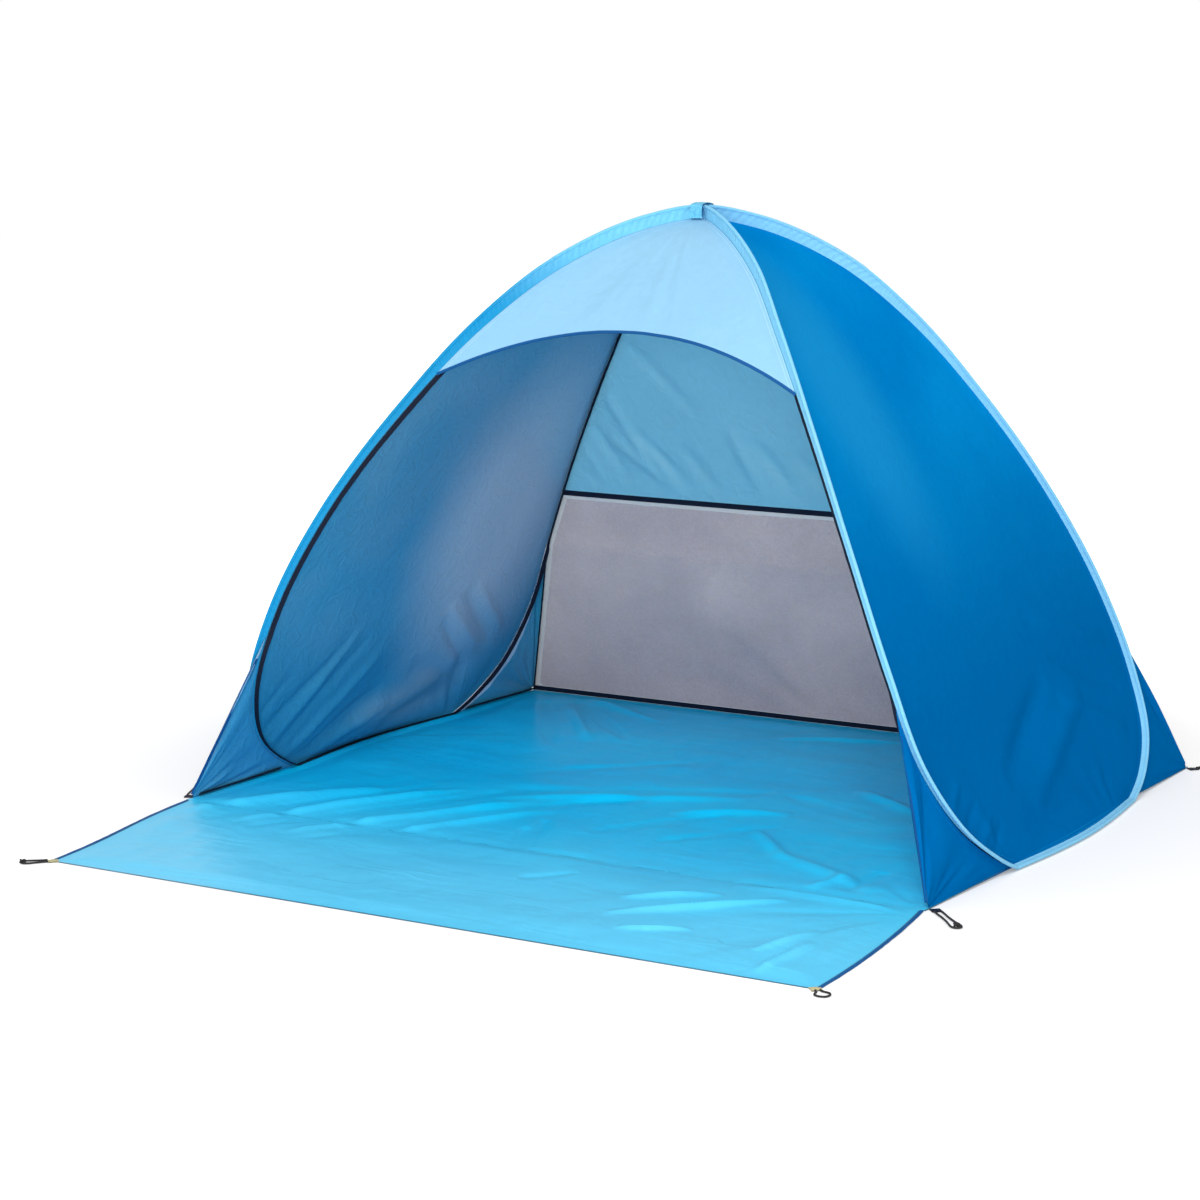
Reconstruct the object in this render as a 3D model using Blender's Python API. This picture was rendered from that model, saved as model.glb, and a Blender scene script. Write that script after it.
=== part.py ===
"""Pop-up beach tent on one spring-steel wire that crosses itself over the roof.

X runs across the tent, Y from the entrance to the back wall and Z up. The origin
is on the ground under the middle of the cabin floor. Lengths are in metres.
Two hoops lean together and cross at the top. Cloth panels hang between them, a
porch folds out in front, and pegging loops sit at the six corners.
"""

import math

import bmesh
import bpy
import numpy as np

# Driving dimensions
floor_width = 1.50
floor_depth = 1.20
porch_length = 0.47
porch_front_width = 1.47
porch_lean = 0.035
tent_height = 1.10
hoop_reach = 0.772
front_bow = 0.503
back_bow = 0.477
hoops_forward = 0.020
brow_middle_length = 0.1885
brow_end_length = 0.2755
window_height = 0.475
front_gusset_height = 0.310
back_gusset_height = 0.356
floor_edge = 0.002
floor_lean = -0.022

# Cloth, seams and bindings
cloth = 0.0010
fit_gap = 0.0003
seam_allowance = 0.0016
gusset_allowance = 0.0026
gusset_foot_allowance = 0.0052
side_sag = 0.016
brow_sag = 0.008
wall_sag = 0.010
binding_thickness = 0.0016
binding_width = 0.0088
binding_start = 0.0025
hem_width = 0.0050
hem_thickness = 0.0018
window_binding_width = 0.0100
window_binding_thickness = 0.0020
entrance_binding_width = 0.0060
corner_trim = 0.0120
binding_setback = 0.050

# Hoop: the sleeve's width runs from the cloth seam to the outer edge
sleeve_width = 0.026
sleeve_bulb_radius = 0.0034
sleeve_bore_radius = 0.00265
sleeve_web = 0.0018
wire_radius = 0.0015
ferrule_radius = 0.0023
ferrule_bore = 0.0018
ferrule_length = 0.040
crossing_clearance = 0.012
crossing_fall = 0.0007

# Crossing tie
tie_width = 0.026
tie_thickness = 0.0012
tie_half_span = 0.024
tie_drop = 0.024

# Pegging tabs and loops
tab_width = 0.018
tab_length = 0.018
tab_thickness = 0.0014
loop_diameter = 0.0035
porch_corner_cut = 0.014
tab_setback = 0.016
long_loop = 0.095
short_loop = 0.042
curled_loop = 0.030
loop_spread = 0.020

# Heights that follow from the sizes above
seam_top = tent_height - tie_thickness - sleeve_width + crossing_fall
corner_height = cloth + fit_gap + cloth / 2
hem_middle_height = seam_top - brow_middle_length
hem_end_height = seam_top - brow_end_length

# Sleeve width: share of the seam's height, of the width at the top
sleeve_width_shares = ((0.00, 0.54), (0.55, 0.54), (0.70, 0.62), (0.80, 0.77), (0.90, 0.96), (1.00, 1.00))

# Hoop outline: share of the seam's height, of the reach, and of the front and back bow
hoop_shares = (
    (1.000, 0.000, 0.000, 0.000),
    (0.985, 0.094, 0.129, 0.125),
    (0.920, 0.252, 0.343, 0.353),
    (0.820, 0.389, 0.554, 0.544),
    (0.680, 0.533, 0.746, 0.714),
    (0.500, 0.686, 0.920, 0.870),
    (0.330, 0.800, 0.998, 0.970),
    (0.190, 0.876, 0.979, 0.998),
    (0.090, 0.931, 0.849, 0.926),
    (0.030, 0.961, 0.670, 0.768),
    (0.000, 0.973, 0.530, 0.615),
    (0.000, 1.000, 0.000, 0.000),
)
# The tape along the floor's sides lies between the floor and the leaning cloth
floor_tape_lean_shares = (-1.0, 0.0, 0.7)
# The fin leans out from the cabin's middle: how much of X, Y and Z it follows
fin_lean_shares = np.array((1.0, 0.5, 1.0))
# Near the ground it turns down: how far off the hoop's middle it looks, and below which height
foot_turn_shares = np.array((0.39, 0.0, 0.25))
foot_turn_height = 0.30
foot_drop_share = 0.462

foot_sleeve_width = sleeve_width * sleeve_width_shares[0][1]
foot_wire_height = sleeve_bulb_radius + fit_gap / 2
foot_height = foot_wire_height + foot_drop_share * (foot_sleeve_width - sleeve_bulb_radius)

# Numbers of rows and columns in the cloth, and of points round a section
foot_columns = 8
brow_rows = 7
brow_columns = 10
wall_rows = 6
window_rows = 3
side_rows = 1
lower_rows = 8
wall_columns = 10
corner_rows = 6
tape_turn_rows = 3
gusset_rows = 5
spline_steps = 40
loop_steps = 8
bulb_turns = (-130, -78, -26, 26, 78, 130)
bore_turns = (-157.5, -112.5, -67.5, -22.5, 22.5, 67.5, 112.5, 157.5)
loop_point_spacing_share = 2.2

colours = {
    "sky_cloth": (0.366, 0.708, 0.939, 1.0),
    "deep_blue_cloth": (0.004, 0.155, 0.462, 1.0),
    "floor_cloth": (0.040, 0.445, 0.820, 1.0),
    "sleeve_cloth": (0.225, 0.640, 0.955, 1.0),
    "mesh_net": (0.296, 0.279, 0.310, 1.0),
    "black_tape": (0.012, 0.018, 0.032, 1.0),
    "navy_tape": (0.010, 0.060, 0.180, 1.0),
    "spring_steel": (0.550, 0.555, 0.560, 1.0),
    "black_elastic": (0.010, 0.010, 0.011, 1.0),
    "cream_webbing": (0.610, 0.540, 0.310, 1.0),
}
roughness_of = {"spring_steel": 0.35}
metallic_of = {"spring_steel": 1.0}
cloth_roughness = 0.6


def clear_scene():
    """Removes every object of the startup scene."""
    for item in list(bpy.data.objects):
        bpy.data.objects.remove(item, do_unlink=True)


def material(name, finish):
    """A Principled material for one piece, in the colour of its finish."""
    made = bpy.data.materials.new(name)
    made.use_nodes = True
    shader = made.node_tree.nodes["Principled BSDF"]
    shader.inputs["Base Color"].default_value = colours[finish]
    shader.inputs["Roughness"].default_value = roughness_of.get(finish, cloth_roughness)
    shader.inputs["Metallic"].default_value = metallic_of.get(finish, 0.0)
    made.diffuse_color = colours[finish]
    return made


def unit(vectors):
    """Each vector divided by its own length."""
    return vectors / np.linalg.norm(vectors, axis=-1, keepdims=True)


def across(vectors, along):
    """The part of each vector square to the direction beside it, at unit length."""
    share = (vectors * along).sum(axis=-1, keepdims=True)
    return unit(vectors - share * along)


def smooth_curve(points, steps):
    """A cubic curve through the points, its tangents taken from both neighbours."""
    knots = np.concatenate([[0.0], np.cumsum(np.linalg.norm(np.diff(points, axis=0), axis=1))])
    slopes = np.gradient(points, knots, axis=0)
    spans = []
    for index in range(len(points) - 1):
        last = index == len(points) - 2
        t = np.linspace(0.0, 1.0, steps, endpoint=last)[:, None]
        gap = knots[index + 1] - knots[index]
        spans.append(
            (2 * t**3 - 3 * t**2 + 1) * points[index]
            + (t**3 - 2 * t**2 + t) * gap * slopes[index]
            + (3 * t**2 - 2 * t**3) * points[index + 1]
            + (t**3 - t**2) * gap * slopes[index + 1]
        )
    return np.vstack(spans)


def arc_lengths(points):
    """The length along the polyline at each of its points."""
    return np.concatenate([[0.0], np.cumsum(np.linalg.norm(np.diff(points, axis=0), axis=1))])


def at_arcs(points, arcs):
    """Points of the polyline at these lengths along it."""
    lengths = arc_lengths(points)
    return np.stack([np.interp(arcs, lengths, points[:, i]) for i in range(3)], axis=1)


def directions(points):
    """Unit directions along a polyline, halfway between the segments that meet."""
    steps = unit(np.diff(points, axis=0))
    both = np.vstack([steps[:1], steps[:-1] + steps[1:], steps[-1:]])
    return unit(both)


def add_object(name, vertices, faces, finish, parent=None, smooth=False):
    """A mesh object whose points are given in the tent's frame."""
    origin = np.array(parent.location) if parent else np.zeros(3)
    mesh = bpy.data.meshes.new(name)
    mesh.from_pydata((np.asarray(vertices) - origin).tolist(), [], faces)
    work = bmesh.new()
    work.from_mesh(mesh)
    bmesh.ops.recalc_face_normals(work, faces=work.faces)
    work.to_mesh(mesh)
    work.free()
    mesh.materials.append(material(name, finish))
    if smooth:
        mesh.shade_smooth()
        mesh.set_sharp_from_angle(angle=math.radians(40))
    made = bpy.data.objects.new(name, mesh)
    bpy.context.scene.collection.objects.link(made)
    made.parent = parent
    return made


def empty_at(name, place):
    """An empty on a joint's axis, which carries the pieces that turn there."""
    made = bpy.data.objects.new(name, None)
    made.location = place
    bpy.context.scene.collection.objects.link(made)
    return made


def grid_normals(grid):
    """Unit normals of a grid of points, from its two sets of neighbours."""
    return unit(np.cross(np.gradient(grid, axis=0), np.gradient(grid, axis=1)))


def sheet(name, grid, finish, parent=None, thickness=cloth):
    """A closed solid of even thickness about a grid of points on its middle surface."""
    rows, columns = grid.shape[:2]
    offset = grid_normals(grid) * thickness / 2
    vertices = np.vstack([(grid + offset).reshape(-1, 3), (grid - offset).reshape(-1, 3)])
    index = np.arange(rows * columns).reshape(rows, columns)
    below = index + rows * columns
    faces = []
    for r in range(rows - 1):
        for c in range(columns - 1):
            faces.append((index[r, c], index[r + 1, c], index[r + 1, c + 1], index[r, c + 1]))
            faces.append((below[r, c], below[r, c + 1], below[r + 1, c + 1], below[r + 1, c]))
    rim = list(index[0, :-1]) + list(index[:-1, -1]) + list(index[-1, :0:-1]) + list(index[:0:-1, 0])
    for first, second in zip(rim, rim[1:] + rim[:1]):
        faces.append((first, second, second + rows * columns, first + rows * columns))
    return add_object(name, vertices, [tuple(map(int, f)) for f in faces], finish, parent, True)


def strip(name, path, outward, sideways, profile, finish, parent=None, bore=None):
    """A profile carried along a path. Each profile point is a distance outward and one
    sideways; a profile may differ from station to station. With a bore, it is an open tube."""
    rings = [profile] if bore is None else [profile, bore]
    layers = []
    for shape in rings:
        shape = np.asarray(shape)
        out = shape[..., :1] * outward[:, None]
        layers.append(path[:, None] + out + shape[..., 1:] * sideways[:, None])
    count = layers[0].shape[1]
    vertices = np.concatenate([layer.reshape(-1, 3) for layer in layers])
    stations = len(path)
    faces = []
    for level in range(len(rings)):
        base = level * stations * count
        for s in range(stations - 1):
            for c in range(count):
                here = base + s * count + c
                beside = base + s * count + (c + 1) % count
                faces.append((here, beside, beside + count, here + count))
    for s in (0, stations - 1):
        first = s * count
        if bore is None:
            faces.append(tuple(range(first, first + count)))
            continue
        inner = stations * count + first
        for c in range(count):
            after = (c + 1) % count
            faces.append((first + c, first + after, inner + after, inner + c))
    return add_object(name, vertices, faces, finish, parent, True)


def rectangle(start, end, thickness):
    """A profile from start to end outward, and half the thickness to each side."""
    half = thickness / 2
    return [(start, -half), (end, -half), (end, half), (start, half)]


def ring(radius, sides):
    """A round profile."""
    turns = [2 * math.pi * (i + 0.5) / sides for i in range(sides)]
    return [(radius * math.cos(a), radius * math.sin(a)) for a in turns]


def plate(name, outline, low, high, finish, parent=None):
    """A flat plate between two heights, with the outline given as X and Y."""
    count = len(outline)
    vertices = [(x, y, low) for x, y in outline] + [(x, y, high) for x, y in outline]
    faces = [tuple(range(count)), tuple(range(count, 2 * count))]
    for i in range(count):
        after = (i + 1) % count
        faces.append((i, after, after + count, i + count))
    return add_object(name, vertices, faces, finish, parent)


def mirrored(points, side):
    """The points on the right (side 1) or on the left (side -1) of the tent."""
    return points * np.array((side, 1.0, 1.0))


# The right hoop's seam line

def station(height, reach, bow, depth):
    """A point of the seam line, from its shares; depth is negative at the entrance."""
    y = bow * depth - hoops_forward
    return (reach * hoop_reach, y, foot_height + height * (seam_top - foot_height))


front_points = [station(h, r, f, -front_bow) for h, r, f, _ in hoop_shares]
back_points = [station(h, r, b, back_bow) for h, r, _, b in hoop_shares]
before_top = np.array(back_points[1]) * (-1, 1, 1)
after_top = np.array(front_points[1]) * (-1, 1, 1)
loop_points = np.array([before_top, *front_points, *back_points[-2::-1], after_top])
loop_curve = smooth_curve(loop_points, spline_steps)
loop_curve[:, 2] = np.maximum(loop_curve[:, 2], foot_height)
last_station = len(hoop_shares) - 1
front_curve = loop_curve[spline_steps : (last_station + 1) * spline_steps + 1]
back_curve = loop_curve[(last_station + 1) * spline_steps : (2 * last_station + 1) * spline_steps + 1][::-1]
foot_start = (last_station - 1) * spline_steps
front_rise = front_curve[: foot_start + 1]
back_rise = back_curve[: foot_start + 1]
foot_curve = np.vstack([front_curve[foot_start:], back_curve[foot_start:-1][::-1]])


def on_edge(curve, heights):
    """Points of a hoop edge at these heights."""
    falling = curve[::-1]
    return np.stack([np.interp(heights, falling[:, 2], falling[:, i]) for i in range(3)], axis=1)


front_arcs = arc_lengths(front_rise)


def heights_between(high, low, count):
    """Row heights from high to low, at even steps along the front edge."""
    start = np.interp(-high, -front_rise[:, 2], front_arcs)
    end = np.interp(-low, -front_rise[:, 2], front_arcs)
    return np.interp(np.linspace(start, end, count + 1), front_arcs, front_rise[:, 2])


top_row = float(np.interp(crossing_clearance, front_arcs, front_rise[:, 2]))
half_binding = window_binding_width / 2 + fit_gap
window_high = window_height + half_binding
window_low = window_height - half_binding
stages = (
    heights_between(top_row, hem_end_height, brow_rows),
    heights_between(hem_end_height, window_high, wall_rows)[1:],
    heights_between(window_high, window_low, 1)[1:],
    heights_between(window_low, back_gusset_height, window_rows)[1:],
    heights_between(back_gusset_height, front_gusset_height, side_rows)[1:],
    heights_between(front_gusset_height, foot_height, lower_rows)[1:],
)
row_heights = np.concatenate(stages)
hem_row = brow_rows
window_high_row = hem_row + wall_rows
window_low_row = window_high_row + 1
back_gusset_row = window_low_row + window_rows
front_gusset_row = back_gusset_row + side_rows
foot_row = len(row_heights) - 1

front_rows = on_edge(front_rise, row_heights)
back_rows = on_edge(back_rise, row_heights)
front_rows[-1] = front_rise[-1]
back_rows[-1] = back_rise[-1]
foot_arcs = np.linspace(0.0, arc_lengths(foot_curve)[-1], foot_columns + 1)
foot_stations = at_arcs(foot_curve, foot_arcs)
seam_path = np.vstack([front_rows, foot_stations[1:-1], back_rows[::-1]])
seam_along = directions(seam_path)
hoop_centre = np.array((0.0, -hoops_forward, 0.0))
nearness = np.clip(1 - seam_path[:, 2:] / foot_turn_height, 0.0, 1.0) ** 2
fin_aim = (seam_path - hoop_centre) * fin_lean_shares - nearness * foot_turn_shares * hoop_reach
fin = across(fin_aim, seam_along)
fin_side = np.cross(seam_along, fin)
width_heights, width_shares = np.array(sleeve_width_shares).T
sleeve_widths = sleeve_width * np.interp(seam_path[:, 2] / seam_top, width_heights, width_shares)
wire_out = sleeve_widths - sleeve_bulb_radius

stations_front = np.arange(foot_row + 1)
stations_back = len(seam_path) - 1 - stations_front
stations_foot = np.arange(foot_row, foot_row + foot_columns + 1)


def profile_normals(rows, axis):
    """Normals of a cloth whose rows run level, from the slope of its edge against height."""
    slope = np.gradient(rows[:, axis], rows[:, 2])
    normals = np.zeros_like(rows)
    normals[:, axis] = 1.0
    normals[:, 2] = -slope
    return unit(normals)


def into_cloth(normals, along, places, target):
    """Directions square to the seam that lie in the cloth and point to the target."""
    inward = unit(np.cross(normals, along))
    facing = np.sign(((target - places) * inward).sum(axis=1))
    return inward * facing[:, None]


def cone_directions(rows, along, corner):
    """Directions from the hoop's edge to the corner, square to the edge."""
    return across(unit(corner - rows), along)


side_normals = profile_normals(front_rows[:-1], 0)
side_normals = np.vstack([side_normals, side_normals[-1:]])
foot_normals = np.repeat(side_normals[-1:], foot_columns - 1, axis=0)
path_normals = np.vstack([side_normals, foot_normals, side_normals[::-1]])
side_middle_shares = np.array((0.8, 0.0, 0.33))
side_middle = side_middle_shares * (hoop_reach, 0.0, seam_top)
into_side = into_cloth(path_normals, seam_along, seam_path, side_middle)
brow_normals = profile_normals(front_rows[:-1], 1)
wall_normals = profile_normals(back_rows[:-1], 1)
row_above = np.linspace(0.0, 1.0, foot_columns + 1)[:, None]
foot_above = front_rows[-2] * (1 - row_above) + back_rows[-2] * row_above
into_side[stations_foot] = across(foot_above - foot_stations, seam_along[stations_foot])
left_of_seam = np.array((-floor_width, 0.0, seam_top / 2))
into_brow = into_cloth(
    brow_normals, seam_along[stations_front[:-1]], front_rows[:-1], left_of_seam
)
into_wall = into_cloth(
    wall_normals, seam_along[stations_back[:-1]], back_rows[:-1], left_of_seam
)
front_corner = np.array((floor_width / 2, -floor_depth / 2 + entrance_binding_width, corner_height))
lean_step = np.array((floor_lean, 0.0, 0.0))
back_corner = np.array((floor_width / 2, floor_depth / 2, corner_height))


cabin_middle = np.array((0.0, 0.0, seam_top / 3))

# The seam's tape lies inside, halfway between the two cloths that meet there
into_front_cloth = cone_directions(front_rows, seam_along[stations_front], front_corner)
into_front_cloth[:front_gusset_row] = into_brow[:front_gusset_row]
into_back_cloth = cone_directions(back_rows, seam_along[stations_back], back_corner)
into_back_cloth[: back_gusset_row + 1] = into_wall[: back_gusset_row + 1]
level_in = np.array((-1.0, 0.0, 0.0))
into_floor = across(level_in * np.ones((foot_columns - 1, 1)), seam_along[stations_foot[1:-1]])
other_cloth = np.vstack([into_front_cloth, into_floor, into_back_cloth[::-1]])


def inner_faces(cloth_directions):
    """The face directions, to the cabin's inside, of a cloth that meets the hoop's seam."""
    faces = np.cross(seam_along, cloth_directions)
    return faces * np.sign((faces * (cabin_middle - seam_path)).sum(axis=1))[:, None]


tape_in = unit(inner_faces(into_side) + inner_faces(other_cloth))
for row in range(foot_row - tape_turn_rows, foot_row + foot_columns + tape_turn_rows + 1):
    past = max(foot_row - row, row - foot_row - foot_columns, 0) / tape_turn_rows
    turned = tape_in[row] * past + level_in * (1 - past)
    tape_in[row] = across(turned, seam_along[row])
tape_side = np.cross(seam_along, tape_in)


def side_panel(side, parent):
    """The cloth inside one hoop: level rows from its front edge to its back edge."""
    starts = front_rows + seam_allowance * into_side[stations_front]
    ends = back_rows + seam_allowance * into_side[stations_back]
    shares = foot_arcs / foot_arcs[-1]
    grid = starts[:, None] * (1 - shares)[None, :, None] + ends[:, None] * shares[None, :, None]
    grid[-1] = foot_stations + seam_allowance * into_side[stations_foot]
    level = np.linspace(0.0, 1.0, foot_row + 1)
    dip = side_sag * np.sin(math.pi * level)[:, None] * (4 * shares * (1 - shares))[None, :]
    grid = grid - dip[:, :, None] * side_normals[:, None]
    name = "side_panel_right" if side > 0 else "side_panel_left"
    return sheet(name, mirrored(grid, side), "deep_blue_cloth", parent)


def front_brow():
    """The cloth over the entrance, from one hoop to the other and down to the arched hem."""
    across_shares = np.linspace(-1.0, 1.0, brow_columns + 1)
    edges = front_rows[: hem_row + 1] + seam_allowance * into_brow[: hem_row + 1]
    falls = (row_heights[0] - row_heights[: hem_row + 1]) / (row_heights[0] - hem_end_height)
    middles = row_heights[0] - falls * (row_heights[0] - hem_middle_height)
    heights = middles[:, None] + (edges[:, 2] - middles)[:, None] * across_shares[None] ** 2
    depth = on_edge(front_rise, heights.ravel())[:, 1].reshape(heights.shape)
    depth[:, (0, -1)] = edges[:, 1:2]
    depth += brow_sag * np.sin(math.pi * falls)[:, None] * (1 - across_shares**2)[None]
    reach = edges[:, :1] * across_shares[None]
    return np.stack([reach, depth, heights], axis=2)


def wall_grid(rows, edges):
    """Level rows of the back wall between its two side edges, dipped in at the middle."""
    across_shares = np.linspace(-1.0, 1.0, wall_columns + 1)
    grid = edges[:, None] * np.stack(
        [across_shares, np.ones_like(across_shares), np.ones_like(across_shares)], axis=1
    )
    tall = (seam_top - edges[:, 2]) / seam_top
    dip = wall_sag * np.sin(math.pi * tall)[:, None] * (1 - across_shares**2)[None]
    grid[:, :, 1] -= dip
    return grid


clear_scene()
right_axis = empty_at("right_hoop_axis", (0.0, 0.0, seam_top))
left_axis = empty_at("left_hoop_axis", (0.0, 0.0, seam_top))
porch_hinge_y = -floor_depth / 2
porch_axis = empty_at("porch_axis", (0.0, porch_hinge_y, cloth))

# Floor: a flat sheet whose sides bow out under the two hoops' feet, floor_edge past the seams


def side_outline(side):
    """The floor's edge on one side, from the entrance to the back; X is counted outward."""
    return np.array(
        [
            (floor_width / 2 + floor_edge + side * floor_lean, -floor_depth / 2),
            *(foot_stations[:, :2] + (floor_edge, 0.0)),
            (floor_width / 2 + floor_edge, floor_depth / 2 + floor_edge),
        ]
    )


left_outline = side_outline(-1)[::-1] * (-1, 1)
floor_outline = [*side_outline(1), *left_outline]
plate("floor_sheet", floor_outline, 0.0, cloth, "floor_cloth")

# Brow and its hem
brow_grid = front_brow()
sheet("front_brow", brow_grid, "sky_cloth")
hem_path = brow_grid[-1]
hem_along = directions(hem_path)
brow_faces = grid_normals(brow_grid)[-1]
hem_down = across(unit(np.cross(brow_faces, hem_along)), hem_along)
hem_down *= -np.sign(hem_down[:, 2:])
strip(
    "brow_hem",
    hem_path,
    hem_down,
    brow_faces,
    rectangle(fit_gap, fit_gap + hem_width, hem_thickness),
    "navy_tape",
)

# Back wall: cloth above, net window below
wall_edges = back_rows[:-1] + seam_allowance * into_wall
upper_rows = wall_edges[: window_high_row + 1]
sheet("back_panel", wall_grid(upper_rows, upper_rows), "sky_cloth")

seam_head = back_rows[back_gusset_row]
net_foot_height = corner_height + window_binding_width + fit_gap
falls = np.linspace(0.0, 1.0, corner_rows + 1)[1:]
corner_line = seam_head + (back_corner - seam_head) * falls[:, None]
trim_share = (net_foot_height - corner_height) / (seam_head[2] - corner_height)
corner_line[-1] = back_corner + (seam_head - back_corner) * trim_share
line_along = unit(back_corner - seam_head)
into_net = across(np.array((-1.0, 0.0, 0.0)), line_along)
lower_edges = corner_line + seam_allowance * into_net
net_edges = np.vstack([wall_edges[window_low_row : back_gusset_row + 1], lower_edges])
net_grid = wall_grid(net_edges, net_edges)
sheet("mesh_window", net_grid, "mesh_net")

middle_edge = (wall_edges[window_high_row] + wall_edges[window_low_row]) / 2
binding_row = wall_grid(middle_edge[None], middle_edge[None])[0]
binding_inset_share = 1 - 2 * seam_allowance / middle_edge[0]
binding_row[(0, -1), 0] *= binding_inset_share
binding_up = unit(wall_edges[window_high_row] - wall_edges[window_low_row]) * (0.0, 1.0, 1.0)
binding_up = np.repeat(unit(binding_up)[None], len(binding_row), axis=0)
binding_along = directions(binding_row)
strip(
    "window_top_binding",
    binding_row,
    binding_up,
    np.cross(binding_along, binding_up),
    rectangle(-window_binding_width / 2, window_binding_width / 2, window_binding_thickness),
    "black_tape",
)

net_foot = net_grid[-1]
base_up = across(np.array((0.0, 0.0, 1.0)) * np.ones_like(net_foot), directions(net_foot))
base_up = unit(base_up + np.array((0.0, line_along[1] / line_along[2], 0.0)))
strip(
    "back_floor_binding",
    net_foot,
    base_up,
    np.cross(directions(net_foot), base_up),
    rectangle(-window_binding_width, -fit_gap, window_binding_thickness),
    "black_tape",
)


def sleeve_profiles():
    """The sleeve's section at each station: a round channel for the wire on a flat web."""
    half = sleeve_web / 2
    start = np.full(len(wire_out), half / 2)
    outer = [(start, -half)]
    for degrees in bulb_turns:
        turn = math.radians(degrees)
        out = wire_out + sleeve_bulb_radius * math.cos(turn)
        outer.append((out, sleeve_bulb_radius * math.sin(turn)))
    outer.append((start, half))
    bore = []
    for degrees in bore_turns:
        turn = math.radians(degrees)
        out = wire_out + sleeve_bore_radius * math.cos(turn)
        bore.append((out, sleeve_bore_radius * math.sin(turn)))

    def stacked(points):
        sides = [np.stack([out, np.full(len(out), side)], axis=1) for out, side in points]
        return np.stack(sides, axis=1)

    return stacked(outer), stacked(bore)


def gusset_grid(corner, head, rows, into_hoop, line_inset):
    """A cone of cloth from a floor corner to the hoop's edge below head.

    The corner's tip is trimmed, and the side along the head line starts line_inset in.
    The gap to the hoop's seam widens toward the foot, where the sleeve turns down."""
    line = unit(head - corner)
    run = unit(rows[-1] - corner)
    apex = corner + run * line_inset / math.sin(math.acos(float((line * run).sum())))
    spread = math.acos(float((unit(rows[1] - head) * -line).sum()))
    tip_step = (line_inset + gusset_allowance) / math.sin(spread)
    tip = head + tip_step * unit(rows[1] - head) + gusset_allowance * into_hoop[0]
    allowances = np.linspace(gusset_allowance, gusset_foot_allowance, len(rows))[1:, None]
    edge = np.vstack([tip[None], rows[1:] + allowances * into_hoop[1:]])
    starts = np.repeat(apex[None], len(edge), axis=0)
    lengths = np.linalg.norm(edge - starts, axis=1)
    trims = corner_trim / lengths
    shares = np.linspace(0.0, 1.0, gusset_rows + 1)
    reach = trims[:, None] + (1 - trims)[:, None] * shares[None]
    return starts[:, None] * (1 - reach)[:, :, None] + edge[:, None] * reach[:, :, None]


front_gusset_rows = front_rows[front_gusset_row:]
back_gusset_rows = back_rows[back_gusset_row:]
back_gusset_into = cone_directions(
    back_gusset_rows, seam_along[stations_back[back_gusset_row:]], back_corner
)
front_head = front_rows[front_gusset_row]
entrance_inset = entrance_binding_width + fit_gap


def line_strip(name, start, end, inward, side, profile, finish, parent, mirror):
    """A strip along a straight seam, with its profile's directions held the same."""
    path = np.stack([start, end])
    outward = np.repeat(unit(inward)[None], 2, axis=0)
    sideways = np.repeat(unit(side)[None], 2, axis=0)
    return strip(
        name,
        mirrored(path, mirror),
        mirrored(outward, mirror),
        mirrored(sideways, mirror),
        profile,
        finish,
        parent,
    )


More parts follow.
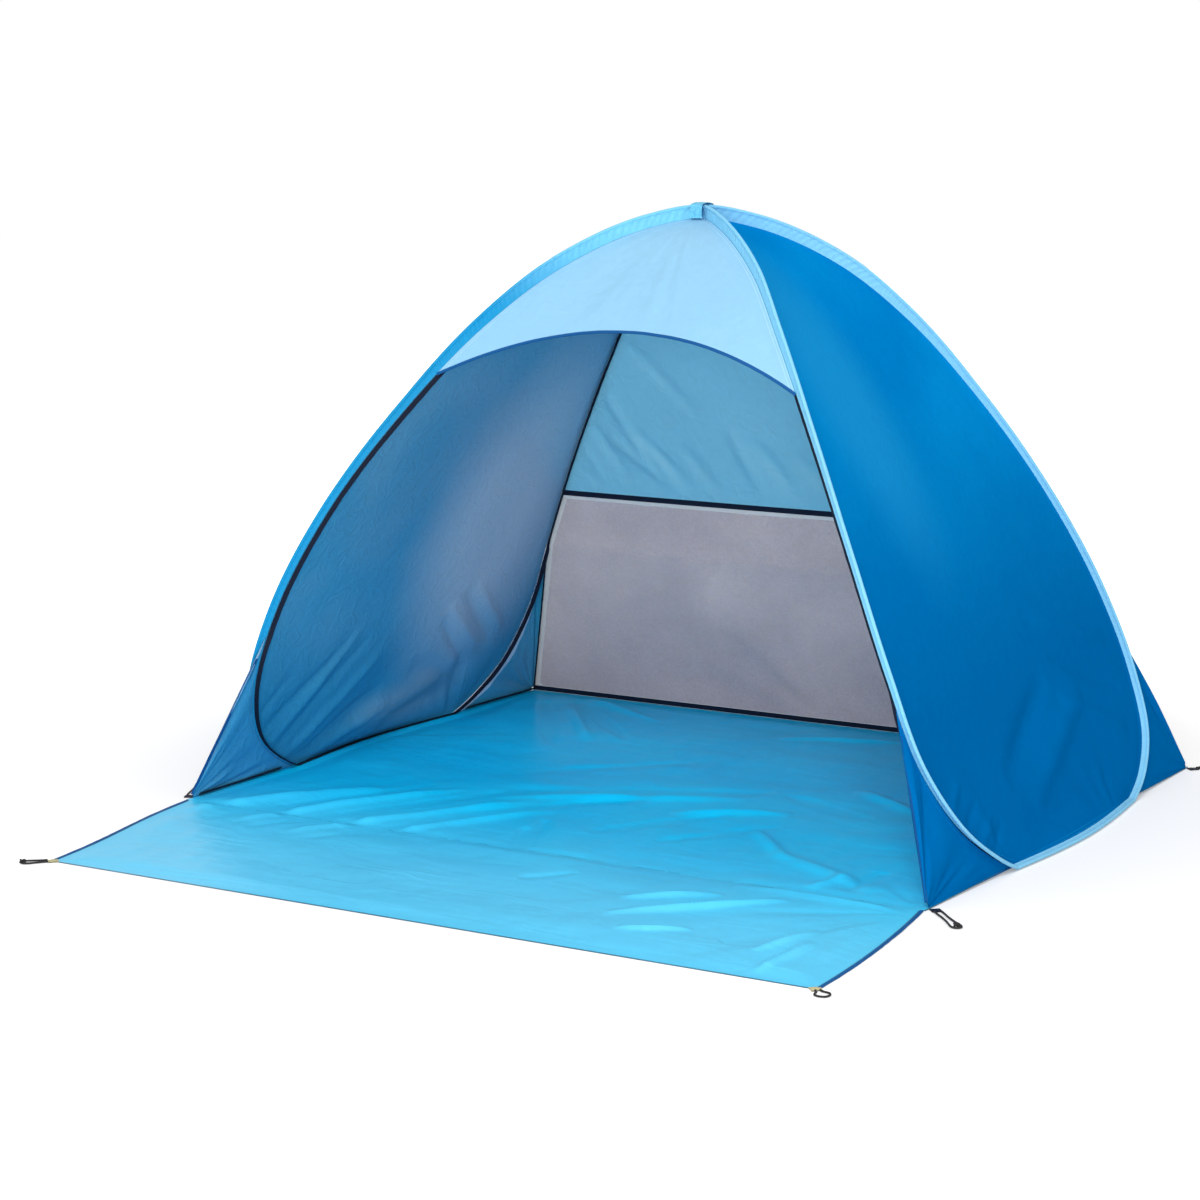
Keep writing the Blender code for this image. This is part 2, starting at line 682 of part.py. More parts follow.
def hoop(side, parent):
    """Everything that turns with one hoop when the frame is folded together."""
    word = "right" if side > 0 else "left"
    path = mirrored(seam_path, side)
    outward = mirrored(fin, side)
    sideways = mirrored(fin_side, side)
    side_panel(side, parent)

    outer, bore = sleeve_profiles()
    strip(f"hoop_sleeve_{word}", path, outward, sideways, outer, "sleeve_cloth", parent, bore)
    wire_path = path + outward * wire_out[:, None]
    wire = ring(wire_radius, 8)
    strip(f"hoop_wire_{word}", wire_path, outward, sideways, wire, "spring_steel", parent)
    strip(
        f"hoop_binding_{word}",
        path[1:-1],
        mirrored(tape_in[1:-1], side),
        mirrored(tape_side[1:-1], side),
        rectangle(binding_start, binding_start + binding_width, binding_thickness),
        "black_tape",
        parent,
    )

    # The crimped tube over the wire's ends lies in the sleeve at the middle of the foot
    halfway = foot_row + foot_columns // 2
    wire_arc = arc_lengths(wire_path)[halfway]
    half = ferrule_length / 2
    ferrule_path = at_arcs(wire_path, (wire_arc - half, wire_arc, wire_arc + half))
    three_out = np.repeat(outward[halfway][None], 3, axis=0)
    three_side = np.repeat(sideways[halfway][None], 3, axis=0)
    strip(
        f"wire_ferrule_{word}",
        ferrule_path,
        three_out,
        three_side,
        ring(ferrule_radius, 10),
        "spring_steel",
        parent,
        ring(ferrule_bore, 10),
    )

    leaning_corner = front_corner + side * lean_step
    front_gusset_into = cone_directions(
        front_gusset_rows, seam_along[stations_front[front_gusset_row:]], leaning_corner
    )
    front = gusset_grid(
        leaning_corner, front_head, front_gusset_rows, front_gusset_into, entrance_inset
    )
    sheet(f"gusset_front_{word}", mirrored(front, side), "deep_blue_cloth", parent)
    back = gusset_grid(back_corner, seam_head, back_gusset_rows, back_gusset_into, seam_allowance)
    sheet(f"gusset_back_{word}", mirrored(back, side), "deep_blue_cloth", parent)

    # Tape along the entrance's edge of the front gusset
    entrance_line = unit(front_head - leaning_corner)
    entrance_in = across(front_gusset_rows[1] - front_head, entrance_line)
    entrance_side = np.cross(entrance_line, entrance_in)
    line_strip(
        f"entrance_binding_{word}",
        leaning_corner + corner_trim * entrance_line,
        front_head - binding_setback * entrance_line,
        entrance_in,
        entrance_side,
        rectangle(0.0, entrance_binding_width, hem_thickness),
        "navy_tape",
        parent,
        side,
    )

    # Tape inside the seam between the net wall and the back gusset
    gusset_in = across(back_gusset_rows[1] - seam_head, line_along)
    corner_in = unit(gusset_in + into_net)
    line_strip(
        f"corner_binding_{word}",
        back_corner - 2 * corner_trim * line_along,
        seam_head + binding_setback * line_along,
        corner_in,
        np.cross(line_along, corner_in),
        rectangle(binding_start, binding_start + binding_width, binding_thickness),
        "black_tape",
        parent,
        side,
    )

    # Tape inside the seams between the gussets and the floor
    up_and_in = np.array(floor_tape_lean_shares)
    for place, corner, foot in (
        ("front", leaning_corner, front_rows[-1]),
        ("back", back_corner, back_rows[-1]),
    ):
        run = unit(foot - corner)
        lift = across(up_and_in, run)
        line_strip(
            f"floor_binding_{place}_{word}",
            corner + 2 * corner_trim * run,
            foot - binding_setback * run,
            lift,
            np.cross(run, lift),
            rectangle(binding_start, binding_start + binding_width, binding_thickness),
            "black_tape",
            parent,
            side,
        )


def tab_outline(place, heading):
    """A tab's outline: it starts at place and runs along heading, in X and Y."""
    ahead = np.array((math.cos(heading), math.sin(heading)))
    beside = np.array((-ahead[1], ahead[0]))
    half = beside * tab_width / 2
    end = place + ahead * tab_length
    return [place - half, end - half, end + half, place + half]


def peg_point(name, place, heading, route_shares, length, finish, parent):
    """A sewn tab, and a loop of elastic cord that leaves it and comes back to it.

    A route share is a place along the loop's length and one across its spread."""
    place = np.array(place)
    plate(f"peg_tab_{name}", tab_outline(place, heading), 0.0, tab_thickness, finish, parent)
    ahead = np.array((math.cos(heading), math.sin(heading)))
    beside = np.array((-ahead[1], ahead[0]))
    foot = place + ahead * (tab_length + fit_gap + loop_diameter)
    route = np.array(route_shares)
    flat = foot + route[:, :1] * length * ahead + route[:, 1:] * loop_spread * beside
    height = np.full((len(flat), 1), loop_diameter / 2 + fit_gap)
    smooth = smooth_curve(np.hstack([flat, height]), loop_steps)
    whole = arc_lengths(smooth)[-1]
    spacing = loop_point_spacing_share * loop_diameter
    points = at_arcs(smooth, np.linspace(0.0, whole, int(whole / spacing) + 1))
    root = np.array((*(-ahead * loop_diameter), 0.0))
    points = np.vstack([points[0] + root, points, points[-1] + root])
    curve = bpy.data.curves.new(f"peg_loop_{name}", "CURVE")
    curve.dimensions = "3D"
    curve.bevel_depth = loop_diameter / 2
    curve.bevel_resolution = 2
    curve.use_fill_caps = True
    spline = curve.splines.new("POLY")
    spline.points.add(len(points) - 1)
    for point, spot in zip(spline.points, points - np.array(parent.location)):
        point.co = (*spot, 1.0)
    curve.materials.append(material(f"peg_loop_{name}", "black_elastic"))
    made = bpy.data.objects.new(f"peg_loop_{name}", curve)
    bpy.context.scene.collection.objects.link(made)
    made.parent = parent


# Loops seen from above, as shares of their length and spread, from one foot to the other: a long
# drop and a short one with round ends, and a curl
drop_route_shares = (
    (0.000, -0.30),
    (0.100, -0.30),
    (0.350, -0.27),
    (0.600, -0.31),
    (0.800, -0.41),
    (0.900, -0.43),
    (0.965, -0.32),
    (1.000, 0.00),
    (0.965, 0.32),
    (0.900, 0.43),
    (0.800, 0.41),
    (0.600, 0.31),
    (0.350, 0.27),
    (0.100, 0.30),
    (0.000, 0.30),
)
short_route_shares = (
    (0.00, -0.30),
    (0.12, -0.30),
    (0.45, -0.38),
    (0.76, -0.44),
    (0.93, -0.30),
    (1.00, 0.00),
    (0.93, 0.30),
    (0.76, 0.44),
    (0.45, 0.38),
    (0.12, 0.30),
    (0.00, 0.30),
)
curl_route_shares = (
    (0.00, -0.20),
    (0.10, -0.22),
    (0.28, -0.40),
    (0.55, -0.60),
    (0.86, -0.42),
    (1.00, 0.00),
    (0.86, 0.42),
    (0.55, 0.60),
    (0.28, 0.40),
    (0.10, 0.22),
    (0.00, 0.20),
)

hoop(1, right_axis)
hoop(-1, left_axis)

# Crossing tie: a short band over the place where the wires cross
tie_top = tent_height - tie_thickness
tie_half_shares = ((0.72, 1.0), (0.9, 0.86), (0.98, 0.5), (1.0, 0.0))
tie_shares = [(-y, z) for y, z in tie_half_shares[::-1]] + list(tie_half_shares)
tie_path = np.array(
    [(0.0, tie_half_span * y - hoops_forward, tie_top - tie_drop * (1 - z)) for y, z in tie_shares]
)
tie_along = directions(tie_path)
tie_across = np.repeat(np.array((1.0, 0.0, 0.0))[None], len(tie_path), axis=0)
tie_out = np.cross(tie_across, tie_along)
half_tie = tie_width / 2
tie_profile = [(0.0, -half_tie), (tie_thickness, -half_tie), (tie_thickness, half_tie), (0.0, half_tie)]
strip("crossing_tie", tie_path, tie_out, tie_across, tie_profile, "sleeve_cloth")

# Porch: the floor's cloth runs on past the entrance and folds up along the front edge
porch_start = porch_hinge_y - fit_gap
porch_end = porch_hinge_y - porch_length
porch_half = floor_width / 2
front_half = porch_front_width / 2
cut = porch_corner_cut


def porch_side(side, inset):
    """X of the porch's side edge at the entrance and at the front, this far inside it."""
    return side * (porch_half - inset) + floor_lean, side * (front_half - inset) + porch_lean


flap_inset = entrance_binding_width + fit_gap
right_x, right_front_x = porch_side(1, flap_inset)
left_x, left_front_x = porch_side(-1, flap_inset)
plate(
    "porch_flap",
    [
        (left_x, porch_start),
        (left_front_x, porch_end + cut),
        (left_front_x + cut, porch_end),
        (right_front_x - cut, porch_end),
        (right_front_x, porch_end + cut),
        (right_x, porch_start),
    ],
    0.0,
    cloth,
    "floor_cloth",
    porch_axis,
)
for word, side in (("right", 1), ("left", -1)):
    inner, inner_front = porch_side(side, entrance_binding_width)
    outer, outer_front = porch_side(side, 0.0)
    plate(
        f"porch_binding_{word}",
        [
            (inner, porch_start),
            (outer, porch_start),
            (outer_front, porch_end + cut),
            (inner_front, porch_end + cut),
        ],
        0.0,
        binding_thickness,
        "navy_tape",
        porch_axis,
    )

# Tabs and loops: at the cabin's corners they go with the hoops, at the porch's with the porch
for name, degrees, route, length, parent in (
    ("front_right", -47, drop_route_shares, long_loop, right_axis),
    ("front_left", 115, drop_route_shares, long_loop, left_axis),
    ("back_right", 48, curl_route_shares, curled_loop, right_axis),
    ("back_left", 140, drop_route_shares, long_loop, left_axis),
):
    heading = math.radians(degrees)
    side = 1 if parent is right_axis else -1
    end = -1 if name.startswith("front") else 1
    tab_y = end * (floor_depth / 2 - tab_setback)
    edge_x, edge_y = side_outline(side).T
    corner_x, corner_y = np.array(tab_outline(np.array((0.0, tab_y)), heading)).T
    tab_x = side * ((np.interp(corner_y, edge_y, edge_x) - side * corner_x).max() + fit_gap)
    peg_point(name, (tab_x, tab_y), heading, route, length, "black_tape", parent)

tab_gap = fit_gap / math.sqrt(2)
for name, side, route, length in (
    ("porch_right", 1, curl_route_shares, curled_loop),
    ("porch_left", -1, short_route_shares, short_loop),
):
    heading = math.radians(-90 + side * 45)
    corner_x = porch_side(side, flap_inset)[1] + side * (tab_gap - cut / 2)
    place = (corner_x, porch_end + cut / 2 - tab_gap)
    peg_point(name, place, heading, route, length, "cream_webbing", porch_axis)
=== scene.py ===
# %% [markdown]
# # A pop-up beach tent
#
# The tent is one loop of spring-steel wire, twisted into a figure of eight, with cloth sewn to it.
# This lesson dresses its plain solid model: every panel becomes thin cloth with its own folds, seams
# and weave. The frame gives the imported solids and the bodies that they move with.

# %% The frame
import math

import bpy
import numpy as np
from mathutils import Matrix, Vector


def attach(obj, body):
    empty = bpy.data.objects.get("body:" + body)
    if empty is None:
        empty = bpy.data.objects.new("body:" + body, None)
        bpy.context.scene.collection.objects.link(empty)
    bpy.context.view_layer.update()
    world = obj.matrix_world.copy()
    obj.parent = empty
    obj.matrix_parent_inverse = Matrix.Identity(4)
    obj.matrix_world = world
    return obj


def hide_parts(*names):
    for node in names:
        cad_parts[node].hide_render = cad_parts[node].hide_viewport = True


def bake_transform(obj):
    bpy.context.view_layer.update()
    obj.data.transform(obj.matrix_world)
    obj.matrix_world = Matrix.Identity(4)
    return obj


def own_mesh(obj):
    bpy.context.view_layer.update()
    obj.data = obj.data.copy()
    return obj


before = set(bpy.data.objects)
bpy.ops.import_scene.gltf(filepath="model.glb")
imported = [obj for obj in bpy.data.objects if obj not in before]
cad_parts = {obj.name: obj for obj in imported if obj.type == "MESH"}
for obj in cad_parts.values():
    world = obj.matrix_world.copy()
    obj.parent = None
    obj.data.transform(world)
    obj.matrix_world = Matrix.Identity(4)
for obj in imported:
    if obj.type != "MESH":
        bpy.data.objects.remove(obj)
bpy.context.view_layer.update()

# %% [markdown]
# ## The camera
#
# The camera stands in front of the tent, to its right, a little above the crossing's height and five
# metres away. Its place and its long lens were fitted to the floor's corners and the outline.

# %% Camera
camera_place = (2.613, -4.870, 1.312)
camera_turn = math.radians(30.27)
camera_tilt = math.radians(9.81)
camera_lens = 89.0

camera = bpy.data.objects.new("camera", bpy.data.cameras.new("camera"))
camera.location = camera_place
camera.rotation_euler = (math.pi / 2 - camera_tilt, 0.0, camera_turn)
camera.data.lens = camera_lens
camera.data.sensor_width = 36.0
bpy.context.scene.collection.objects.link(camera)
bpy.context.scene.camera = camera

# %% [markdown]
# ## Paths
#
# Seams, wires and cords all follow smooth curves, so a few small functions serve the whole tent.
# They work on whole arrays of points at once.


# %% Path helpers
def unit(vectors):
    """Each vector divided by its length."""
    return vectors / np.maximum(np.linalg.norm(vectors, axis=-1, keepdims=True), 1e-12)


def across(vectors, along):
    """The part of each vector square to the direction beside it, at unit length."""
    return unit(vectors - (vectors * along).sum(axis=-1, keepdims=True) * along)


def arc_lengths(points):
    """The running sum of the distances between neighbouring points."""
    return np.concatenate([[0.0], np.cumsum(np.linalg.norm(np.diff(points, axis=0), axis=1))])


def smooth_curve(points, steps):
    """A cubic through each pair of points, with tangents taken from both neighbours."""
    points = np.asarray(points, float)
    knots = arc_lengths(points)
    slopes = np.gradient(points, knots, axis=0)
    spans = []
    for index in range(len(points) - 1):
        last = index == len(points) - 2
        t = np.linspace(0.0, 1.0, steps, endpoint=last)[:, None]
        gap = knots[index + 1] - knots[index]
        spans.append(
            (2 * t**3 - 3 * t**2 + 1) * points[index]
            + (t**3 - 2 * t**2 + t) * gap * slopes[index]
            + (3 * t**2 - 2 * t**3) * points[index + 1]
            + (t**3 - t**2) * gap * slopes[index + 1]
        )
    return np.vstack(spans)


def at_arcs(points, arcs):
    """The polyline's points at these lengths along it."""
    lengths = arc_lengths(points)
    return np.stack([np.interp(arcs, lengths, points[:, i]) for i in range(3)], axis=1)


def directions(points):
    """At each point, the unit direction from the neighbour before it to the one after it."""
    return unit(np.gradient(points, axis=0))


# %% [markdown]
# ## Finishes made of nodes
#
# Each effect that several cloths share is a node group: the weave, the slow change of shade over a
# panel, and the tiny creases that a coated cloth keeps from being folded. A group puts out a height or
# a mask, and the material feeds it to a Bump node or to the colour.


# %% Node helpers
def feed(tree, node, inputs):
    """Gives each input of a node its number, its colour or the socket that feeds it."""
    for key, value in inputs.items():
        if isinstance(value, bpy.types.NodeSocket):
            tree.links.new(value, node.inputs[key])
        else:
            node.inputs[key].default_value = value


def add(tree, kind, inputs=None, **settings):
    """A new node of this kind with its settings and its inputs."""
    made = tree.nodes.new(kind)
    for key, value in settings.items():
        setattr(made, key, value)
    feed(tree, made, inputs or {})
    return made


def maths(tree, operation, first, second=0.0):
    """The result of one Math node."""
    return add(tree, "ShaderNodeMath", {0: first, 1: second}, operation=operation).outputs[0]


def times(tree, first, second):
    """The product of two values."""
    return maths(tree, "MULTIPLY", first, second)


def vector_maths(tree, operation, first, second=(0.0, 0.0, 0.0)):
    """The result of one Vector Math node: a value for a length, and a vector otherwise."""
    made = add(tree, "ShaderNodeVectorMath", {0: first, 1: second}, operation=operation)
    return made.outputs["Value" if operation == "LENGTH" else "Vector"]


def part_of(tree, vector, axis):
    """One coordinate of a vector."""
    return add(tree, "ShaderNodeSeparateXYZ", {0: vector}).outputs[axis]


def ramp(tree, value, start, end, low=0.0, high=1.0, curve="LINEAR"):
    """A value that goes from low to high while another goes from start to end, and stays there."""
    ends = {"Value": value, "From Min": start, "From Max": end, "To Min": low, "To Max": high}
    return add(tree, "ShaderNodeMapRange", ends, interpolation_type=curve).outputs[0]


def bump_of(tree, height, strength, distance):
    """The normal of a surface that this height raises."""
    inputs = {"Height": height, "Strength": strength, "Distance": distance}
    return add(tree, "ShaderNodeBump", inputs).outputs["Normal"]


# %% Node groups
def new_group(name, inputs, output):
    """An empty node group with these inputs and one output, and the sockets at its two ends."""
    tree = bpy.data.node_groups.new(name, "ShaderNodeTree")
    for label, kind in inputs.items():
        tree.interface.new_socket(label, in_out="INPUT", socket_type=f"NodeSocket{kind}")
    tree.interface.new_socket(output, in_out="OUTPUT", socket_type="NodeSocketFloat")
    start = tree.nodes.new("NodeGroupInput")
    end = tree.nodes.new("NodeGroupOutput")
    return tree, start.outputs, end.inputs[0]


def weave_group():
    """Threads over and under: the sine of the place along times the sine of the place across."""
    tree, given, result = new_group("weave", {"Place": "Vector", "Pitch": "Float"}, "Height")
    place = add(tree, "ShaderNodeSeparateXYZ", {0: given["Place"]}).outputs
    turns = [maths(tree, "DIVIDE", place[axis], given["Pitch"]) for axis in (0, 1)]
    waves = [maths(tree, "SINE", times(tree, turn, 2 * math.pi)) for turn in turns]
    tree.links.new(times(tree, *waves), result)
    return tree


def mottle_group():
    """Slow cloudy change: noise, brought to a factor that swings about one."""
    inputs = {"Place": "Vector", "Scale": "Float", "Swing": "Float"}
    tree, given, result = new_group("mottle", inputs, "Factor")
    clouds = {"Vector": given["Place"], "Scale": given["Scale"], "Detail": 3.0}
    centred = maths(tree, "SUBTRACT", add(tree, "ShaderNodeTexNoise", clouds).outputs["Fac"], 0.5)
    tree.links.new(maths(tree, "ADD", times(tree, centred, given["Swing"]), 1.0), result)
    return tree


def crease_group():
    """Sharp little creases: one minus eight times the distance of warped noise from its middle
    value, and never below zero."""
    tree, given, result = new_group("creases", {"Place": "Vector", "Scale": "Float"}, "Height")
    warped = {"Vector": given["Place"], "Scale": given["Scale"], "Detail": 2.0, "Distortion": 0.6}
    centred = maths(tree, "SUBTRACT", add(tree, "ShaderNodeTexNoise", warped).outputs["Fac"], 0.5)
    ridge = maths(tree, "SUBTRACT", 1.0, times(tree, maths(tree, "ABSOLUTE", centred), 8.0))
    tree.links.new(maths(tree, "MAXIMUM", ridge, 0.0), result)
    return tree


def stitch_group():
    """A row of thread beside a seam: dashes along it, in a thin line at a set distance from it."""
    inputs = {"Seam": "Vector", "Line": "Float", "Pitch": "Float", "Thread": "Float"}
    tree, given, result = new_group("stitches", inputs, "Mask")
    run, away = add(tree, "ShaderNodeSeparateXYZ", {0: given["Seam"]}).outputs[:2]
    off = maths(tree, "ABSOLUTE", maths(tree, "SUBTRACT", away, given["Line"]))
    near = maths(tree, "LESS_THAN", off, given["Thread"])
    turn = maths(tree, "FRACT", maths(tree, "DIVIDE", run, given["Pitch"]))
    dash = maths(tree, "LESS_THAN", turn, 0.72)
    tree.links.new(times(tree, near, dash), result)
    return tree


groups = {"weave": weave_group(), "mottle": mottle_group()}
groups |= {"creases": crease_group(), "stitches": stitch_group()}
print(f"{len(groups)} shared effects: {', '.join(groups)}")


def use(tree, group, **inputs):
    """A shared effect placed in a material with its own values; returns its output."""
    return add(tree, "ShaderNodeGroup", inputs, node_tree=groups[group]).outputs[0]


# %% [markdown]
# ## Cloth
#
# Coated polyester is a plain weave, fine enough to look smooth from a step away, with a satin gloss
# that shows every fold. Its two faces differ: the outer one is clear in colour, and the coated inner
# one is greyer. So each face of a panel has a material of its own.


# %% Colour helpers
def from_screen(red, green, blue):
    """A colour as a screen shows it, from 0 to 255, turned to the linear values that shaders use."""
    shares = np.array((red, green, blue)) / 255.0
    linear = np.where(shares <= 0.04045, shares / 12.92, ((shares + 0.055) / 1.055) ** 2.4)
    return (*linear.tolist(), 1.0)


def scaled(tree, colour, factor):
    """A colour, given as a socket or as values, times a factor."""
    given = colour if isinstance(colour, bpy.types.NodeSocket) else colour[:3]
    return add(tree, "ShaderNodeVectorMath", {0: given, "Scale": factor}, operation="SCALE").outputs[0]


def blended(tree, share, first, second):
    """The first colour where the share is 0 and the second where it is 1."""
    return add(tree, "ShaderNodeMix", {0: share, 6: first, 7: second}, data_type="RGBA").outputs[2]


def new_material(name):
    """A new material, its tree, its shader, and the socket that gives each point's place."""
    made = bpy.data.materials.new(name)
    made.use_nodes = True
    tree = made.node_tree
    return made, tree, tree.nodes["Principled BSDF"], add(tree, "ShaderNodeTexCoord").outputs["Object"]


def own_map(tree, label):
    """The piece's own map of this name."""
    return add(tree, "ShaderNodeUVMap", uv_map=label).outputs["UV"]


# %% Cloth material
stitch_lines = (0.0030, 0.0085)
stitch_pitch = 0.0042
thread_radius = 0.00045
thread_height = 0.0002


def cloth_material(
    name, colour, roughness, second=None, pitch=0.0009, weave_depth=0.00002, crease_depth=0.0004,
    crease_scale=26.0, stretch=(1.0, 1.0, 1.0), thread=None, swing=0.16, gloss=0.12, painted_gradient=None,
    painted_highlights=(), edging=None,
):
    """Satin cloth: weave on the panel's own map, slow shade changes and fine creases over it, drawn
    out by stretch. A thread colour adds two rows of stitching beside the seams, a second colour shows
    in clouds, a colour of painted light and shade (colour, axis, start, end) takes over along an axis,
    painted highlights (colour, middle, half axes) are soft ellipses in Y and Z, and an edging (colour,
    axis of the seam map, middle, half width) is a stripe beside the seam."""
    made, tree, shader, place = new_material(name)
    seam = own_map(tree, "seam")
    clouds = use(tree, "mottle", Place=place, Scale=2.6, Swing=swing)
    grain = use(tree, "mottle", Place=place, Scale=60.0, Swing=swing / 2)
    base = from_screen(*colour)
    if second:
        patches = add(tree, "ShaderNodeTexNoise", {"Vector": place, "Scale": 3.1, "Detail": 2.0})
        base = blended(tree, ramp(tree, patches.outputs["Fac"], 0.38, 0.62), base, from_screen(*second))
    # Painted light and shade: a colour that takes over along an axis
    if painted_gradient:
        tone, axis, start, end = painted_gradient
        share = ramp(tree, part_of(tree, place, axis), start, end, curve="SMOOTHSTEP")
        base = blended(tree, share, base, from_screen(*tone))
    # Painted highlights: soft ellipses of painted light
    for tone, middle, (wide, tall) in painted_highlights:
        moved = vector_maths(tree, "SUBTRACT", place, (0.0, *middle))
        moved = vector_maths(tree, "MULTIPLY", moved, (0.0, 1 / wide, 1 / tall))
        share = ramp(tree, vector_maths(tree, "LENGTH", moved), 1.0, 0.2, curve="SMOOTHSTEP")
        base = blended(tree, share, base, from_screen(*tone))
    tinted = scaled(tree, base, times(tree, clouds, grain))
    if edging:
        tone, axis, middle, half = edging
        off = maths(tree, "ABSOLUTE", maths(tree, "SUBTRACT", part_of(tree, seam, axis), middle))
        tinted = blended(tree, ramp(tree, off, half, half * 0.7), tinted, from_screen(*tone))
    threads = times(tree, use(tree, "weave", Place=own_map(tree, "panel"), Pitch=pitch), weave_depth)
    drawn = vector_maths(tree, "MULTIPLY", place, stretch)
    creases = times(tree, use(tree, "creases", Place=drawn, Scale=crease_scale), crease_depth)
    height = maths(tree, "ADD", threads, creases)
    if thread:
        look = {"Seam": seam, "Pitch": stitch_pitch, "Thread": thread_radius}
        rows = maths(tree, "MAXIMUM", *(use(tree, "stitches", Line=line, **look) for line in stitch_lines))
        tinted = blended(tree, rows, tinted, from_screen(*thread))
        height = maths(tree, "ADD", height, times(tree, rows, thread_height))
    rough = times(tree, grain, roughness)
    finish = {"Base Color": tinted, "Roughness": rough, "Specular IOR Level": gloss}
    feed(tree, shader, finish | {"Normal": bump_of(tree, height, 0.8, 1.0)})
    return made


# %% Finishes of the walls: colours as the screen shows them
# Its edging is a painted shadow: a darker line along each hoop's seam
sky_outside = cloth_material(
    "sky_outside", (147, 200, 232), 0.46, thread=(190, 226, 243),
    edging=((84, 158, 196), "Y", 0.0, 0.0022),
)
sky_inside = cloth_material("sky_inside", (142, 208, 229), 0.42, crease_depth=0.0008, gloss=0.2)
# Painted shade and light: the outer wall darkens toward the ground, and a soft pool of painted light lies
# high at the front
deep_outside = cloth_material(
    "deep_outside", (2, 142, 216), 0.4, second=(0, 130, 206), thread=(20, 150, 220), gloss=0.0,
    painted_gradient=((0, 105, 174), "Z", 0.85, 0.20), painted_highlights=[((22, 145, 212), (-0.17, 0.80), (0.20, 0.42))],
)
inside_look = {"second": (70, 152, 192), "crease_depth": 0.0008, "gloss": 0.35}
# Painted sheen and shade: a large pale grey patch in the middle of the inner wall and a smaller one low
# down are painted highlights, and the wall turns bluer and darker toward the ground
deep_inside = cloth_material(
    "deep_inside", (100, 160, 194), 0.4, painted_gradient=((48, 138, 180), "Z", 0.40, 0.12),
    painted_highlights=[((196, 204, 220), (0.17, 0.46), (0.36, 0.46)), ((112, 150, 178), (0.06, 0.08), (0.24, 0.07))],
    **inside_look,
)
# Its edging is a painted highlight: a pale strip along the entrance edge
front_inside = cloth_material(
    "front_inside", (62, 150, 196), 0.4, edging=((176, 206, 232), "X", 0.0, 0.034), **inside_look
)
# Its edging is a painted highlight: a pale strip a little way from the hoop's seam
back_inside = cloth_material(
    "back_inside", (60, 158, 196), 0.4, edging=((206, 222, 240), "Y", 0.024, 0.010), **inside_look
)

# %% Finishes of the floor, the sleeves, the tie and the tapes
# Painted light and shade: the cloth turns paler toward the porch's front, and stays darker under the tent
floor_top = cloth_material(
    "floor_top", (0, 202, 255), 0.36, second=(22, 207, 255), crease_depth=0.0005, crease_scale=16.0,
    stretch=(0.3, 1.0, 1.0), painted_gradient=((98, 211, 252), "Y", -0.30, -0.95),
    edging=((70, 140, 172), "Y", 0.0, 0.0035),
)
floor_under = cloth_material("floor_under", (60, 150, 200), 0.5)
sleeve_pale = cloth_material("sleeve_pale", (134, 208, 244), 0.5, swing=0.24, crease_scale=60.0)
# Painted shade: the pale sleeve cloth made a darker cyan, for the left sleeve's inward face, paling again
# toward the crossing
sleeve_painted_shade = cloth_material(
    "sleeve_painted_shade", (24, 148, 202), 0.5, swing=0.4, crease_scale=60.0,
    painted_gradient=((124, 206, 240), "Z", 0.90, 1.07),
)
tie_cloth = cloth_material(
    "tie_cloth", (112, 200, 238), 0.5, swing=0.5, crease_depth=0.0012, crease_scale=90.0
)
tape_look = {"pitch": 0.0016, "weave_depth": 0.00012, "crease_depth": 0.0002, "swing": 0.3}
tape_black = cloth_material("tape_black", (24, 30, 48), 0.62, **tape_look)
tape_navy = cloth_material("tape_navy", (22, 88, 150), 0.6, **tape_look)
webbing_cream = cloth_material(
    "webbing_cream", (205, 196, 152), 0.7, pitch=0.0024, weave_depth=0.0003, crease_depth=0.0002, swing=0.4
)
print(f"{len(bpy.data.materials)} materials so far, with those of the solids")


# %% [markdown]
# ## Net
#
# The window is a net of fine pale yarn, and the ground behind shows through its holes. The yarn's
# pattern drives the material's alpha, so the holes are open in any view.


# %% Net material
net_pitch = 0.0021
net_border = 0.015


def net_material():
    """Crossed yarns: alpha is high on a yarn and low in a hole, on the panel's own map. A border as
    wide as net_border is closer and paler."""
    made, tree, shader, place = new_material("window_net")
    panel = add(tree, "ShaderNodeSeparateXYZ", {0: own_map(tree, "panel")}).outputs
    turns = [times(tree, panel[axis], 2 * math.pi / net_pitch) for axis in (0, 1)]
    yarn = maths(tree, "MAXIMUM", *(maths(tree, "SINE", turn) for turn in turns))
    clouds = use(tree, "mottle", Place=place, Scale=5.0, Swing=0.3)
    grain = use(tree, "mottle", Place=place, Scale=320.0, Swing=0.5)
    thickness = times(tree, times(tree, ramp(tree, yarn, -0.2, 0.8, 0.60, 0.84), clouds), grain)
    from_edge = part_of(tree, own_map(tree, "seam"), "Y")
    border = ramp(tree, from_edge, net_border + 0.0005, net_border - 0.0005)
    tint = use(tree, "mottle", Place=place, Scale=9.0, Swing=0.3)
    fleck = use(tree, "mottle", Place=place, Scale=170.0, Swing=0.42)
    yarn_colour = scaled(tree, from_screen(196, 177, 182), times(tree, tint, fleck))
    finish = {
        "Base Color": blended(tree, border, yarn_colour, from_screen(236, 228, 224)),
        "Alpha": maths(tree, "MAXIMUM", thickness, times(tree, border, 0.8)),
        "Normal": bump_of(tree, yarn, 0.4, 0.0002),
        "Roughness": 0.7,
        "Specular IOR Level": 0.2,
    }
    feed(tree, shader, finish)
    return made


window_net = net_material()


